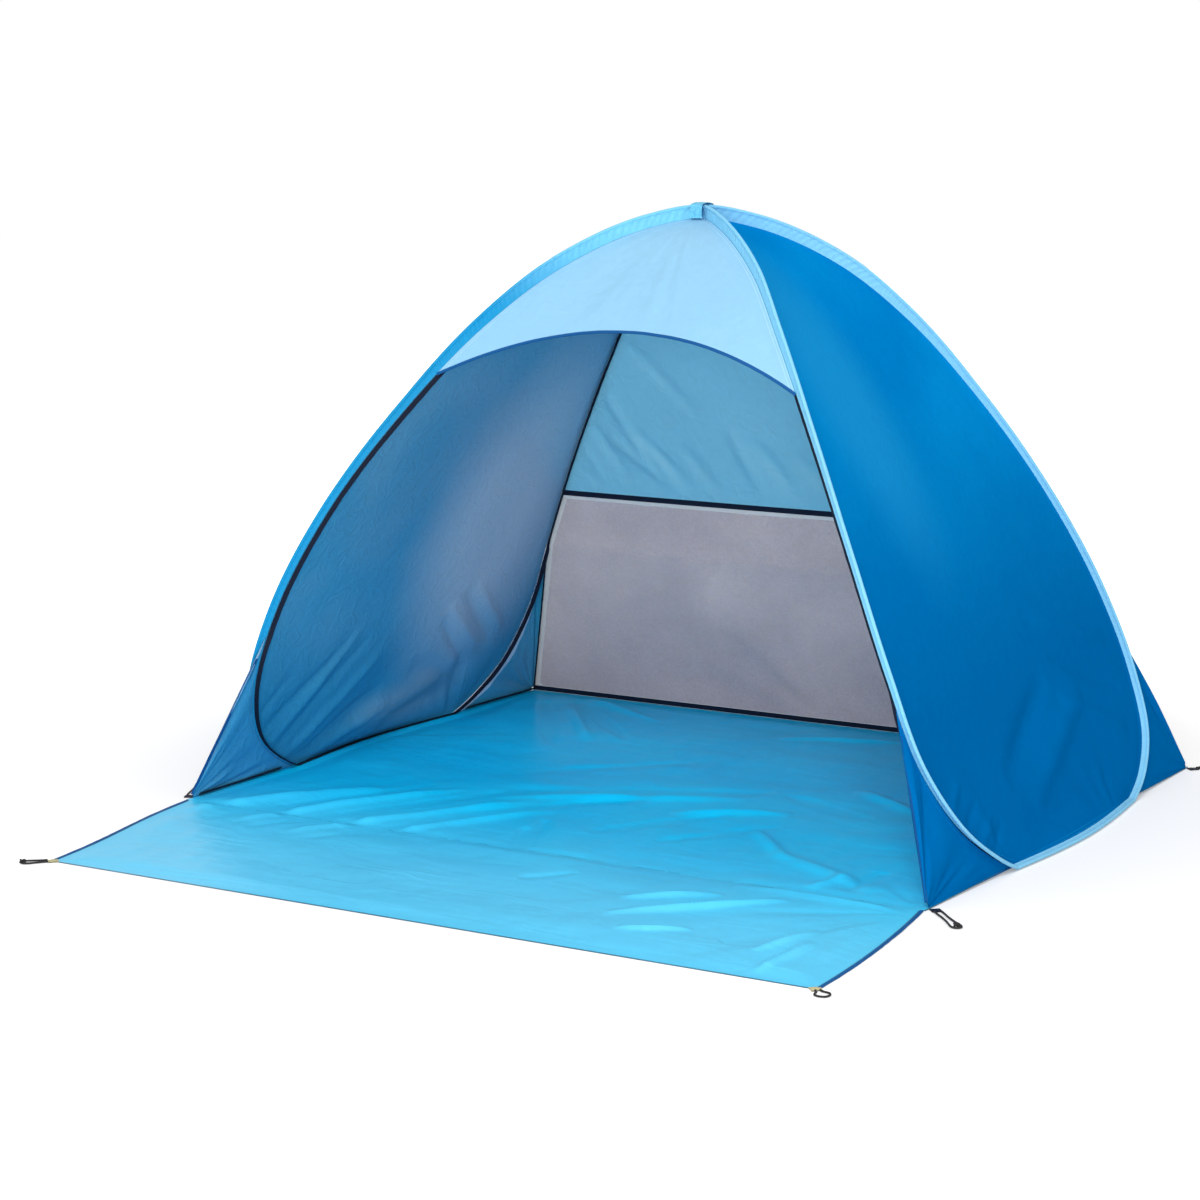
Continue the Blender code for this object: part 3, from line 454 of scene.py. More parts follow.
# %% Steel and cord materials
def plain_material(name, colour, roughness, metallic, scale, swing, depth):
    """A hard or braided finish: clouds of shade, and the same noise as a fine bump."""
    made, tree, shader, place = new_material(name)
    shade = use(tree, "mottle", Place=place, Scale=scale, Swing=swing)
    tinted, rough = scaled(tree, from_screen(*colour), shade), times(tree, shade, roughness)
    finish = {"Base Color": tinted, "Roughness": rough, "Metallic": metallic}
    feed(tree, shader, finish | {"Normal": bump_of(tree, shade, 0.6, depth)})
    return made


spring_steel = plain_material("spring_steel", (196, 198, 200), 0.3, 1.0, 300.0, 0.3, 0.0002)
elastic_black = plain_material("elastic_black", (26, 26, 28), 0.75, 0.0, 900.0, 0.9, 0.0006)

# %% [markdown]
# ## Meshes
#
# A cloth is a grid of points that two numbers run over. Its solid has the grid's points moved half
# the thickness out on one layer and in on the other, joined by a rim. Shading normals are worked out
# on the whole cloth before it is cut in two, so that a cut in the middle doesn't show.


# %% Mesh helpers
cabin_middle = np.array((0.0, 0.0, 0.36))
cloth_thickness = 0.0008


def make_mesh(name, points, faces, materials, levels=None, uvs=()):
    """An object at the origin from points and quads, each face with the material of its level."""
    mesh = bpy.data.meshes.new(name)
    mesh.from_pydata(points.tolist(), [], faces if isinstance(faces, list) else faces.tolist())
    for finish in materials:
        mesh.materials.append(finish)
    if levels is not None:
        mesh.polygons.foreach_set("material_index", levels.astype(np.int32))
    corners = np.empty(len(mesh.loops), np.int32)
    mesh.loops.foreach_get("vertex_index", corners)
    for label, values in uvs:
        layer = mesh.uv_layers.new(name=label)
        layer.uv.foreach_set("vector", values[corners].astype(np.float32).ravel())
    mesh.shade_smooth()
    made = bpy.data.objects.new(name, mesh)
    bpy.context.scene.collection.objects.link(made)
    return made


def grid_normals(grid, outward_from=cabin_middle):
    """Unit normals from the grid's two sets of neighbours, turned away from a point inside."""
    normals = unit(np.cross(np.gradient(grid, axis=0), np.gradient(grid, axis=1)))
    if ((grid - outward_from) * normals).sum() < 0:
        normals = -normals
    return normals


def grid_quads(rows, columns):
    """The four corners of each cell of a grid, numbered row by row."""
    index = np.arange(rows * columns).reshape(rows, columns)
    corners = (index[:-1, :-1], index[1:, :-1], index[1:, 1:], index[:-1, 1:])
    return np.stack(corners, axis=-1).reshape(-1, 4)


def rim_of(rows, columns):
    """The grid's border points in order, as one closed loop."""
    index = np.arange(rows * columns).reshape(rows, columns)
    return np.concatenate([index[0, :-1], index[:-1, -1], index[-1, :0:-1], index[:0:-1, 0]])


def cloth(name, grid, normals, outside, inside, seam, thickness=cloth_thickness):
    """A closed cloth with an outer and an inner layer. Its panel map counts metres along its middle
    row and column; its seam map holds the length along the nearest seam and the distance from it."""
    rows, columns = grid.shape[:2]
    count = rows * columns
    middle = np.cross(np.gradient(grid, axis=0), np.gradient(grid, axis=1))
    turned = (middle * normals).sum() > 0
    offset = normals * thickness / 2
    points = np.vstack([(grid + offset).reshape(-1, 3), (grid - offset).reshape(-1, 3)])
    top = grid_quads(rows, columns)
    rim = rim_of(rows, columns)
    after = np.roll(rim, -1)
    edge = np.stack([rim, after, after + count, rim + count], axis=-1)
    if turned:
        faces = np.vstack([top, top[:, ::-1] + count, edge])
    else:
        faces = np.vstack([top[:, ::-1], top + count, edge[:, ::-1]])
    levels = np.concatenate([np.zeros(len(top)), np.ones(len(top)), np.zeros(len(edge))])
    down = arc_lengths(grid[:, columns // 2])
    over = arc_lengths(grid[rows // 2])
    panel = np.stack(np.meshgrid(over, down), axis=-1).reshape(-1, 2)
    seam = seam.reshape(-1, 2)
    uvs = [("panel", np.vstack([panel, panel])), ("seam", np.vstack([seam, seam]))]
    made = make_mesh(name, points, faces, [outside, inside], levels, uvs)
    shading = np.vstack([normals.reshape(-1, 3), -normals.reshape(-1, 3)])
    made.data.normals_split_custom_set_from_vertices(shading.tolist())
    return made


def swept(name, path, outward, sideways, profile, finish, far_finish=None):
    """A closed profile carried along a path: each profile point is a distance outward and one
    sideways at every station. The ends are closed with a fan round their middle point. The profile's
    second half may have a finish of its own."""
    profile = np.asarray(profile, float)
    if profile.ndim == 2:
        profile = np.repeat(profile[None], len(path), axis=0)
    stations, count = profile.shape[:2]
    rings = path[:, None] + profile[..., :1] * outward[:, None] + profile[..., 1:] * sideways[:, None]
    index = np.arange(stations * count).reshape(stations, count)
    beside = np.roll(index, -1, axis=1)
    faces = np.stack([index[:-1], beside[:-1], beside[1:], index[1:]], axis=-1).reshape(-1, 4)
    out, over = profile[0].T
    turns = (out * np.roll(over, -1) - np.roll(out, -1) * over).sum()
    inverted = turns * float(np.cross(outward[1], sideways[1]) @ (path[2] - path[1])) < 0
    run = arc_lengths(path)
    around = np.concatenate([[0.0], np.cumsum(np.linalg.norm(np.diff(rings[0], axis=0), axis=1))])
    panel = np.stack(np.meshgrid(around, run), axis=-1).reshape(-1, 2)
    points = np.vstack([rings.reshape(-1, 3), rings[0].mean(axis=0), rings[-1].mean(axis=0)])
    panel = np.vstack([panel, panel[[0, -1]]])
    start, end = np.full(count, len(points) - 2), np.full(count, len(points) - 1)
    fans = (start, beside[0], index[0]), (end, index[-1], beside[-1])
    caps = np.vstack([np.stack(fan, axis=1) for fan in fans])
    if inverted:
        faces, caps = faces[:, ::-1], caps[:, ::-1]
    levels = np.tile(np.arange(count) >= count // 2, stations - 1)
    levels = np.concatenate([levels, np.zeros(2 * count)]) if far_finish else None
    uvs = [("panel", panel), ("seam", np.ones_like(panel))]
    finishes = [finish, far_finish] if far_finish else [finish]
    made = make_mesh(name, points, faces.tolist() + caps.tolist(), finishes, levels, uvs)
    made.data.set_sharp_from_angle(angle=math.radians(50))
    return made


def circle(corners):
    """The corners of a circle of radius one."""
    angles = np.linspace(0.0, 2 * math.pi, corners, endpoint=False)
    return np.stack([np.cos(angles), np.sin(angles)], axis=1)


# %% [markdown]
# ## Noise for folds
#
# Real folds are never even, so every fold is shaped by noise that is fixed by its seed: the same
# script always makes the same tent.


# %% Fold helpers
lattice = 61


def eased(t):
    """A share from 0 to 1 made level at both ends, 3t² - 2t³."""
    return t * t * (3 - 2 * t)


def bell(value, middle, width):
    """One at the middle, falling off as exp(-((value - middle) / width)²)."""
    return np.exp(-(((value - middle) / width) ** 2))


def noise(x, y, cell, seed):
    """Random values on the corners of a square lattice, eased from corner to corner in each cell."""
    table = np.random.default_rng(seed).uniform(-1.0, 1.0, (lattice, lattice))
    gx, gy = x / cell, y / cell
    ix, iy = np.floor(gx).astype(int), np.floor(gy).astype(int)
    tx, ty = eased(gx - ix), eased(gy - iy)
    left, right, down, up = ix % lattice, (ix + 1) % lattice, iy % lattice, (iy + 1) % lattice
    low = table[left, down] * (1 - tx) + table[right, down] * tx
    high = table[left, up] * (1 - tx) + table[right, up] * tx
    return low * (1 - ty) + high * ty


def fan_folds(x, y, centre, reach, count, seed):
    """Folds that run out of one point: noise over the angle, slowly changing along the radius."""
    dx, dy = x - centre[0], y - centre[1]
    radius = np.hypot(dx, dy)
    angle = np.arctan2(dy, dx) * count / math.pi
    waves = noise(angle, radius / reach * 1.5, 1.0, seed)
    grow = np.clip(radius / (0.25 * reach), 0.0, 1.0)
    return waves * grow * np.exp(-((radius / reach) ** 2))


def all_fans(x, y, table, seed):
    """The sum of several fans, each with the next seed. A row: centre, reach, count and height."""
    return sum(
        high * fan_folds(x, y, (middle_x, middle_y), reach, count, seed + index)
        for index, (middle_x, middle_y, reach, count, high) in enumerate(table)
    )


def line_fold(x, y, start, end, width):
    """One long fold: a bell across the line from start to end, fading out toward both ends."""
    start, end = np.array(start), np.array(end)
    length = np.linalg.norm(end - start)
    ahead = (end - start) / length
    t = ((x - start[0]) * ahead[0] + (y - start[1]) * ahead[1]) / length
    off = (x - start[0]) * -ahead[1] + (y - start[1]) * ahead[0]
    taper = np.clip(t, 0.0, 1.0) * np.clip(1.0 - t, 0.0, 1.0) * 4
    return taper**0.7 * bell(off, 0.0, 1.2 * width)


def line_folds(x, y, table):
    """The sum of many single folds. Each row of the table: start, end, width and height."""
    return sum(high * line_fold(x, y, (x0, y0), (x1, y1), wide) for x0, y0, x1, y1, wide, high in table)


# %% [markdown]
# ## The seam of a hoop
#
# One line carries the whole tent: the seam beside the wire, up the front, over the crossing and down
# the back. It is one smooth curve through a few stations, given as shares of the tent's height, its
# reach to the side and its bows to the front and back. The left hoop mirrors the right one.

# %% Tent sizes
seam_top = 1.0735
foot_height = 0.008466
hoop_reach = 0.772
front_bow = 0.503
back_bow = 0.477
hoops_forward = 0.020
half_floor = 0.75
half_depth = 0.60
floor_lean = -0.022
porch_length = 0.47
porch_half_front = 0.735
porch_lean = 0.035
corner_height = 0.0018
sleeve_width = 0.026
wire_channel = 0.0034
hem_middle_height = seam_top - 0.1885
hem_end_height = seam_top - 0.2755
window_high = 0.4803
window_low = 0.4697
front_gusset_height = 0.310
back_gusset_height = 0.356
sides = ((1, "right"), (-1, "left"))

# %% Hoop stations: share of the height, of the reach, and of the front and back bow
hoop_shares = (
    (1.000, 0.000, 0.000, 0.000),
    (0.985, 0.094, 0.129, 0.125),
    (0.920, 0.252, 0.343, 0.353),
    (0.820, 0.389, 0.554, 0.544),
    (0.680, 0.533, 0.746, 0.714),
    (0.500, 0.686, 0.920, 0.870),
    (0.330, 0.800, 0.998, 0.970),
    (0.190, 0.876, 0.979, 0.998),
    (0.090, 0.931, 0.849, 0.926),
    (0.030, 0.961, 0.670, 0.768),
    (0.000, 0.973, 0.530, 0.615),
    (0.000, 1.000, 0.000, 0.000),
)


# %% Hoop curves
def station(height, reach, bow, depth):
    """A point of the seam line; depth is negative at the entrance."""
    y = bow * depth - hoops_forward
    return (reach * hoop_reach, y, foot_height + height * (seam_top - foot_height))


steps = 40
front_stations = [station(h, r, f, -front_bow) for h, r, f, _ in hoop_shares]
back_stations = [station(h, r, b, back_bow) for h, r, _, b in hoop_shares]
before_top = np.array(back_stations[1]) * (-1, 1, 1)
after_top = np.array(front_stations[1]) * (-1, 1, 1)
loop = smooth_curve([before_top, *front_stations, *back_stations[-2::-1], after_top], steps)
loop[:, 2] = np.maximum(loop[:, 2], foot_height)
last = len(hoop_shares) - 1
front_curve = loop[steps : (last + 1) * steps + 1]
back_curve = loop[(last + 1) * steps : (2 * last + 1) * steps + 1][::-1]
foot_start = (last - 1) * steps
front_rise = front_curve[: foot_start + 1]
back_rise = back_curve[: foot_start + 1]
foot_curve = np.vstack([front_curve[foot_start:], back_curve[foot_start:-1][::-1]])
front_length = arc_lengths(front_rise)[-1]
back_length = arc_lengths(back_rise)[-1]
foot_length = arc_lengths(foot_curve)[-1]
print(f"seam: {front_length:.3f} m in front, {foot_length:.3f} m at the foot")
print(f"and {back_length:.3f} m behind")


def on_edge(curve, heights):
    """Points of a hoop's edge at these heights."""
    falling = curve[::-1]
    return np.stack([np.interp(heights, falling[:, 2], falling[:, i]) for i in range(3)], axis=1)


def heights_along(rise, high, count, low=None):
    """Row heights at even steps along a hoop's edge, from high to low or to the edge's end."""
    arcs = arc_lengths(rise)
    start = np.interp(-high, -rise[:, 2], arcs)
    end = arcs[-1] if low is None else np.interp(-low, -rise[:, 2], arcs)
    return np.interp(np.linspace(start, end, count + 1), arcs, rise[:, 2])


def even_steps(curve, start, length):
    """Points of a curve about one seam step apart, from a start to its length."""
    return at_arcs(curve, np.linspace(start, length, round(length / seam_step)))


def smoothed(vectors, passes):
    """Each vector averaged with its neighbours, (before + 2 itself + after) / 4, many times over."""
    for _ in range(passes):
        inner = (vectors[:-2] + 2 * vectors[1:-1] + vectors[2:]) / 4
        vectors = np.vstack([vectors[:1], inner, vectors[-1:]])
    return vectors


# %% The seam at even steps, with the fin's direction at each
crossing_clearance = 0.012
seam_step = 0.002
front_part = even_steps(front_rise, crossing_clearance, front_length)
foot_part = even_steps(foot_curve, 0.0, foot_length)
back_part = even_steps(back_rise, crossing_clearance, back_length)
seam_path = np.vstack([front_part, foot_part[1:-1], back_part[::-1]])
seam_along = directions(seam_path)
seam_run = arc_lengths(seam_path)
foot_span = (len(front_part) - 1, len(front_part) + len(foot_part) - 2)

fin_lean_shares = np.array((1.0, 0.5, 1.0))
foot_turn_shares = np.array((0.39, 0.0, 0.25))
nearness = np.clip(1 - seam_path[:, 2:] / 0.30, 0.0, 1.0) ** 2
fin_aim = (seam_path + (0.0, hoops_forward, 0.0)) * fin_lean_shares
fin = across(fin_aim - nearness * foot_turn_shares * hoop_reach, seam_along)
fin_side = np.cross(seam_along, fin)
width_heights = (0.00, 0.55, 0.70, 0.80, 0.90, 1.00)
width_shares = (0.54, 0.54, 0.62, 0.77, 0.96, 1.00)
sleeve_widths = sleeve_width * np.interp(seam_path[:, 2] / seam_top, width_heights, width_shares)
wire_out = sleeve_widths - wire_channel
top_row = float(front_part[0, 2])


def mirrored(points, side):
    """The points on the right (side 1) or on the left (side -1) of the tent."""
    return points * np.array((side, 1.0, 1.0))


def replace_with(piece, node, body=None):
    """The piece stands for a solid of the model, which it hides, and moves with a body if one is given."""
    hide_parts(node)
    if body:
        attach(piece, body)
    return piece


# %% [markdown]
# ## Pegging loops
#
# At each of the six corners is a loop of elastic cord, to be put round a peg. It leaves a sewn tab
# and comes back to it, and lies loose on the ground. A tube is carried along each route.

# %% Loop routes: shares of the loop's length and of its spread
cord_width = 0.0035
loop_spread = 0.020
floor_margin = 0.002
porch_inset = 0.0063
half_drop = (
    (0.965, 0.32), (0.90, 0.43), (0.80, 0.41), (0.60, 0.31), (0.35, 0.27), (0.10, 0.30), (0.0, 0.30),
)
half_short = ((0.93, 0.30), (0.76, 0.44), (0.45, 0.38), (0.12, 0.30), (0.0, 0.30))
half_curl = ((0.86, 0.42), (0.55, 0.60), (0.28, 0.40), (0.10, 0.22), (0.0, 0.20))


def whole_route(half):
    """The way out mirrors the way back about the tip."""
    half = np.array(half)
    return np.vstack([half[::-1] * (1, -1), [(1.0, 0.0)], half])


def floor_side(side):
    """The floor's edge on one side, from the entrance to the back; X is counted outward."""
    foot = at_arcs(foot_curve, np.linspace(0.0, foot_length, 9))[:, :2] + (floor_margin, 0.0)
    first = (half_floor + floor_margin + side * floor_lean, -half_depth)
    return np.vstack([[first], foot, [(half_floor + floor_margin, half_depth + floor_margin)]])


def porch_side(side):
    """X of the porch's cloth at the entrance and at the front, inside its edge tape."""
    at_entrance = side * (half_floor - porch_inset) + floor_lean
    return at_entrance, side * (porch_half_front - porch_inset) + porch_lean


# %% Loops and tabs
tab_size = 0.018
tab_from_corner = 0.016
tab_thickness = 0.0012
fit_gap = 0.0003
corner_cut = 0.014
porch_end = -half_depth - porch_length


def tab_place(side, end, ahead, beside):
    """Where a cabin corner's tab starts, so that its four corners stay off the floor's edge."""
    beside = beside * tab_size / 2
    y = end * (half_depth - tab_from_corner)
    far = ahead * tab_size
    corners = np.array([-beside, far - beside, far + beside, beside]) + (0.0, y)
    edge_x, edge_y = floor_side(side).T
    reach = np.interp(corners[:, 1], edge_y, edge_x) - side * corners[:, 0]
    return np.array((side * (reach.max() + fit_gap), y))


def tube(name, path, radius, finish, corners=10):
    """A round cord: a circle of points carried along the path, in the directions across it."""
    along = directions(path)
    upward = across(np.array((0.02, 0.01, 1.0)), along)
    return swept(name, path, upward, np.cross(along, upward), circle(corners) * radius, finish)


def tab(name, place, ahead, beside, finish):
    """A folded end of webbing: it lies flat, thins at its free edge, and two rows of stitches press
    it down, each a bell across it."""
    along = np.linspace(0.0, 1.0, 13)
    over = np.linspace(-1.0, 1.0, 13)
    s, t = np.meshgrid(along, over, indexing="ij")
    ground = place + s[..., None] * ahead * tab_size + t[..., None] * beside * tab_size / 2 * 0.98
    height = 0.0009 + 0.0009 * np.sin(math.pi * np.clip(s * 1.2, 0, 1)) * (1 - 0.4 * t**2)
    height = height - 0.0004 * bell(s, 0.28, 0.05) - 0.0004 * bell(s, 0.72, 0.05)
    grid = np.dstack([ground, height])
    normals = grid_normals(grid, grid.mean(axis=(0, 1)) - (0.0, 0.0, 1.0))
    seam = np.dstack([t * tab_size / 2 + 0.5, np.abs(s - 0.5) * tab_size])
    return cloth(name, grid, normals, finish, finish, seam, tab_thickness)


def knot(name, centre, finish):
    """A small overhand knot: the trefoil (sin t + 2 sin 2t, cos t - 2 cos 2t, -sin 3t), laid flat."""
    t = np.linspace(0.0, 2 * math.pi * 0.985, 60)
    trefoil = (np.sin(t) + 2 * np.sin(2 * t), np.cos(t) - 2 * np.cos(2 * t), -np.sin(3 * t))
    shape = np.stack(trefoil, axis=1) * (0.0017, 0.0017, 0.0016)
    return tube(name, centre + shape, cord_width / 2, finish, 8)


loops = {}
for name, degrees, half, length, body in (
    ("front_right", -47, half_drop, 0.095, "right_hoop"),
    ("front_left", 115, half_drop, 0.095, "left_hoop"),
    ("back_right", 48, half_curl, 0.030, "right_hoop"),
    ("back_left", 140, half_drop, 0.095, "left_hoop"),
    ("porch_right", -45, half_curl, 0.030, "porch"),
    ("porch_left", -135, half_short, 0.042, "porch"),
):
    heading = math.radians(degrees)
    side = 1 if "right" in name else -1
    ahead = np.array((math.cos(heading), math.sin(heading)))
    beside = np.array((-ahead[1], ahead[0]))
    if body == "porch":
        gap = fit_gap / math.sqrt(2)
        corner_x = porch_side(side)[1] + side * (gap - corner_cut / 2)
        place = np.array((corner_x, porch_end + corner_cut / 2 - gap))
        finish, slot = webbing_cream, "cream_webbing"
    else:
        place = tab_place(side, -1 if "front" in name else 1, ahead, beside)
        finish, slot = tape_black, "black_tape"
    piece = tab(f"peg_tab_{name}_sewn", place, ahead, beside, finish)
    replace_with(piece, f"peg_tab_{name}", body)
    route = whole_route(half)
    foot = place + ahead * (tab_size + fit_gap + cord_width)
    flat = foot + route[:, :1] * length * ahead + route[:, 1:] * loop_spread * beside
    path = smooth_curve(np.hstack([flat, np.full((len(flat), 1), cord_width / 2 + fit_gap)]), 8)
    path = even_steps(path, 0.0, arc_lengths(path)[-1])
    root = np.array((*(-ahead * cord_width), 0.0))
    path = np.vstack([path[0] + root, path, path[-1] + root])
    cord = tube(f"peg_loop_{name}_cord", path, cord_width / 2, elastic_black)
    replace_with(cord, f"peg_loop_{name}", body)
    extras = []
    if name in ("front_right", "porch_left"):
        tip = foot + ahead * length * (0.90 if half is half_drop else 0.94)
        extras.append(knot(f"peg_loop_{name}_knot", np.array((*tip, 0.0045)), elastic_black))
        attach(extras[0], body)
    loops[name] = (piece, cord, extras)
    run = float(arc_lengths(path)[-1])
    print(f"loop {name}: {run * 1000:.0f} mm of cord")

# %% [markdown]
# ## Side walls
#
# Each side wall fills one hoop. Its rows run level from the front edge to the back edge, so its shape
# is ruled, and it is drawn in a little at the middle, as pulled cloth is. Long soft folds run out of
# the hoop's foot, where the wire turns under.


# %% Side wall edges
side_rows, side_columns = 250, 188
side_heights = heights_along(front_rise, top_row, side_rows, foot_height)
side_front = on_edge(front_rise, side_heights)
side_back = on_edge(back_rise, side_heights)
side_front[-1], side_back[-1] = front_rise[-1], back_rise[-1]
side_arcs = arc_lengths(side_front)
foot_reach = 0.13
foot_share = np.clip((side_arcs - side_arcs[-1] + foot_reach) / foot_reach, 0.0, 1.0) ** 2
shares = np.linspace(0.0, 1.0, side_columns + 1)
foot_line = at_arcs(foot_curve, shares * foot_length)
foot_bow = foot_line - (foot_line[:1] * (1 - shares[:, None]) + foot_line[-1:] * shares[:, None])
print(f"side wall of {side_rows} rows, {side_arcs[-1]:.3f} m along its front edge")

# %% Folds of the side walls
# Long folds of the left wall, in Y and Z: they run up and back from the hoop's foot, the broad lobe
# lies lower, and short ones leave the back seam
left_wall_folds = (
    (-0.49, 0.12, -0.39, 0.22, 0.009, 0.004),
    (-0.45, 0.09, -0.24, 0.26, 0.010, 0.006),
    (-0.42, 0.05, -0.20, 0.29, 0.010, -0.006),
    (-0.38, 0.05, -0.17, 0.26, 0.010, 0.006),
    (-0.36, 0.01, -0.11, 0.22, 0.011, -0.007),
    (-0.33, 0.00, -0.06, 0.14, 0.011, 0.007),
    (-0.30, -0.01, -0.02, 0.10, 0.012, -0.006),
    (-0.26, 0.01, -0.06, 0.12, 0.012, 0.008),
    (-0.12, 0.06, 0.24, 0.13, 0.030, -0.012),
    (-0.02, 0.03, 0.28, 0.08, 0.034, 0.012),
    (0.02, 0.16, 0.28, 0.10, 0.018, 0.008),
    (0.10, 0.28, 0.29, 0.15, 0.013, -0.007),
    (0.15, 0.30, 0.33, 0.17, 0.013, 0.007),
    (0.19, 0.31, 0.37, 0.18, 0.012, -0.006),
    (0.09, 0.25, 0.30, 0.09, 0.012, 0.007),
)
# Those of the right wall: short ones leave the front seam near the foot and the back seam, and two
# broad ones cross below the middle
right_wall_folds = (
    (-0.47, 0.12, -0.38, 0.17, 0.008, 0.004),
    (-0.44, 0.08, -0.34, 0.13, 0.008, -0.004),
    (-0.40, 0.05, -0.30, 0.10, 0.008, 0.004),
    (-0.36, 0.03, -0.27, 0.08, 0.008, -0.004),
    (-0.20, 0.13, 0.10, 0.26, 0.022, -0.010),
    (-0.14, 0.08, 0.22, 0.22, 0.022, 0.010),
    (0.12, 0.36, 0.40, 0.28, 0.013, 0.006),
    (0.14, 0.29, 0.40, 0.19, 0.013, -0.006),
    (0.12, 0.22, 0.36, 0.12, 0.013, 0.006),
)
right_wall_fans = ((0.16, -0.06, 0.34, 15, 0.0040), (-0.30, -0.02, 0.30, 13, 0.0030))
left_wall_fans = ((-0.33, -0.03, 0.42, 15, 0.0040), (0.26, -0.04, 0.34, 15, 0.0030))


def side_folds(y, z, side):
    """Folds of one side wall, in metres outward: soft broad waves, fans out of the hoop's foot, and
    single long folds."""
    if side > 0:
        seed, fans, folds = 3, right_wall_fans, line_folds(y, z, right_wall_folds)
    else:
        seed, fans, folds = 11, left_wall_fans, 1.05 * line_folds(y, z, left_wall_folds)
    return 0.0022 * noise(y + 3, z + 3, 0.22, seed) + all_fans(y, z, fans, seed + 1) + folds


def side_wall(side):
    """The ruled wall with its foot bowed out, its middle drawn in and its folds."""
    back_share = shares[None, :, None]
    grid = side_front[:, None] * (1 - back_share) + side_back[:, None] * back_share
    grid = grid + foot_share[:, None, None] * foot_bow[None]
    level = side_arcs / side_arcs[-1]
    edge_fade = 4 * shares * (1 - shares)
    dip = 0.016 * np.sin(math.pi * level)[:, None] * edge_fade[None]
    folds = side_folds(grid[..., 1], grid[..., 2], side)
    rim = np.minimum(np.clip((1 - level) * 14, 0, 1)[:, None], np.clip(edge_fade * 7, 0, 1)[None])
    rim = rim * np.clip(level * 8, 0, 1)[:, None]
    outward = grid_normals(grid, np.array((0.0, 0.0, 0.3)))
    grid = grid + outward * (folds * rim - dip)[..., None]
    return mirrored(grid, side)


def seam_map(grid):
    """For each point of a wall, the length along the nearer edge, counted from five metres on the
    second one, and the distance from that edge: the distance along the row times the sine of the
    angle between row and edge."""
    steps_over = np.linalg.norm(np.diff(grid, axis=1), axis=2)
    from_front = np.hstack([np.zeros((len(grid), 1)), np.cumsum(steps_over, axis=1)])
    from_back = from_front[:, -1:] - from_front
    angles = []
    for edge, over in ((grid[:, 0], grid[:, 1] - grid[:, 0]), (grid[:, -1], grid[:, -2] - grid[:, -1])):
        angles.append(np.linalg.norm(np.cross(directions(edge), unit(over)), axis=1)[:, None])
    far_front, far_back = from_front * angles[0], from_back * angles[1]
    nearer = far_front <= far_back
    first_run, second_run = arc_lengths(grid[:, 0]), arc_lengths(grid[:, -1]) + 5.0
    run = np.where(nearer, first_run[:, None], second_run[:, None])
    return np.dstack([run, np.where(nearer, far_front, far_back)])


# %% Side walls made
for side, word in sides:
    grid = side_wall(side)
    normals = grid_normals(grid)
    seam = seam_map(grid)
    # Where the foot's seam is nearer, the map counts along that one, from ten metres on
    to_foot = np.linalg.norm(np.diff(grid, axis=0), axis=2)[::-1].cumsum(axis=0)[::-1]
    to_foot = np.vstack([to_foot, np.zeros((1, grid.shape[1]))])
    lower = to_foot < seam[..., 1]
    seam[..., 0] = np.where(lower, 10.0 + shares[None] * foot_length, seam[..., 0])
    seam[..., 1] = np.where(lower, to_foot, seam[..., 1])
    wall = cloth(f"side_wall_{word}", grid, normals, deep_outside, deep_inside, seam)
    replace_with(wall, f"side_panel_{word}", f"{word}_hoop")

# %% [markdown]
# ## Wire sleeves
#
# A strip of pale cloth is folded over the wire and sewn into the seam, so its section is a drop: a
# flat web, then a round channel for the wire. The strip is cut straight but sewn round a bend, so it
# gathers into slanting puckers, most of all near the crossing, where it is widest.

# %% Sleeve section
drop_turns = np.radians(np.arange(-150, 151, 30))
drop_radius = 0.96 * wire_channel
web_shares = np.array((0.0, 0.22, 0.45, 0.68, 0.86))
wire_radius = 0.0015
crimp_radius = 0.0022
sleeve_overrun = 0.0095


def sleeve_profile(side):
    """At each station: up one face of the web, round the wire, and down the other face. Both faces
    shift to one side by a slanting wave, whose size grows with the sleeve's width."""
    width = (wire_out - 0.0022)[:, None]
    half_web = 0.0005 + 0.0010 * web_shares**2
    out_web = web_shares * width - 0.0004
    round_out = wire_out[:, None] + drop_radius * np.cos(drop_turns)
    round_side = np.repeat(drop_radius * np.sin(drop_turns)[None], len(wire_out), axis=0)
    out = np.hstack([out_web, round_out, out_web[:, ::-1]])
    flat = np.repeat(half_web[None], len(wire_out), axis=0)
    across_web = np.hstack([-flat, round_side, flat[:, ::-1]])
    seed = 21 if side > 0 else 27
    run = seam_run[:, None] + 0.75 * out
    grow = np.clip((sleeve_widths[:, None] - 0.0135) / 0.010, 0.0, 1.0)
    pitch = 0.0105 + 0.004 * grow
    wave = np.sin(2 * math.pi * run / pitch + 2.2 * noise(run, run * 0, 0.045, seed))
    wave = wave * (0.65 + 0.35 * noise(run, out * 40, 0.03, seed + 1))
    size = (0.0003 + 0.0010 * grow) * np.sin(math.pi * np.clip(out / wire_out[:, None], 0.0, 1.0)) ** 0.7
    across_web = across_web + size * wave
    return np.dstack([out, across_web])


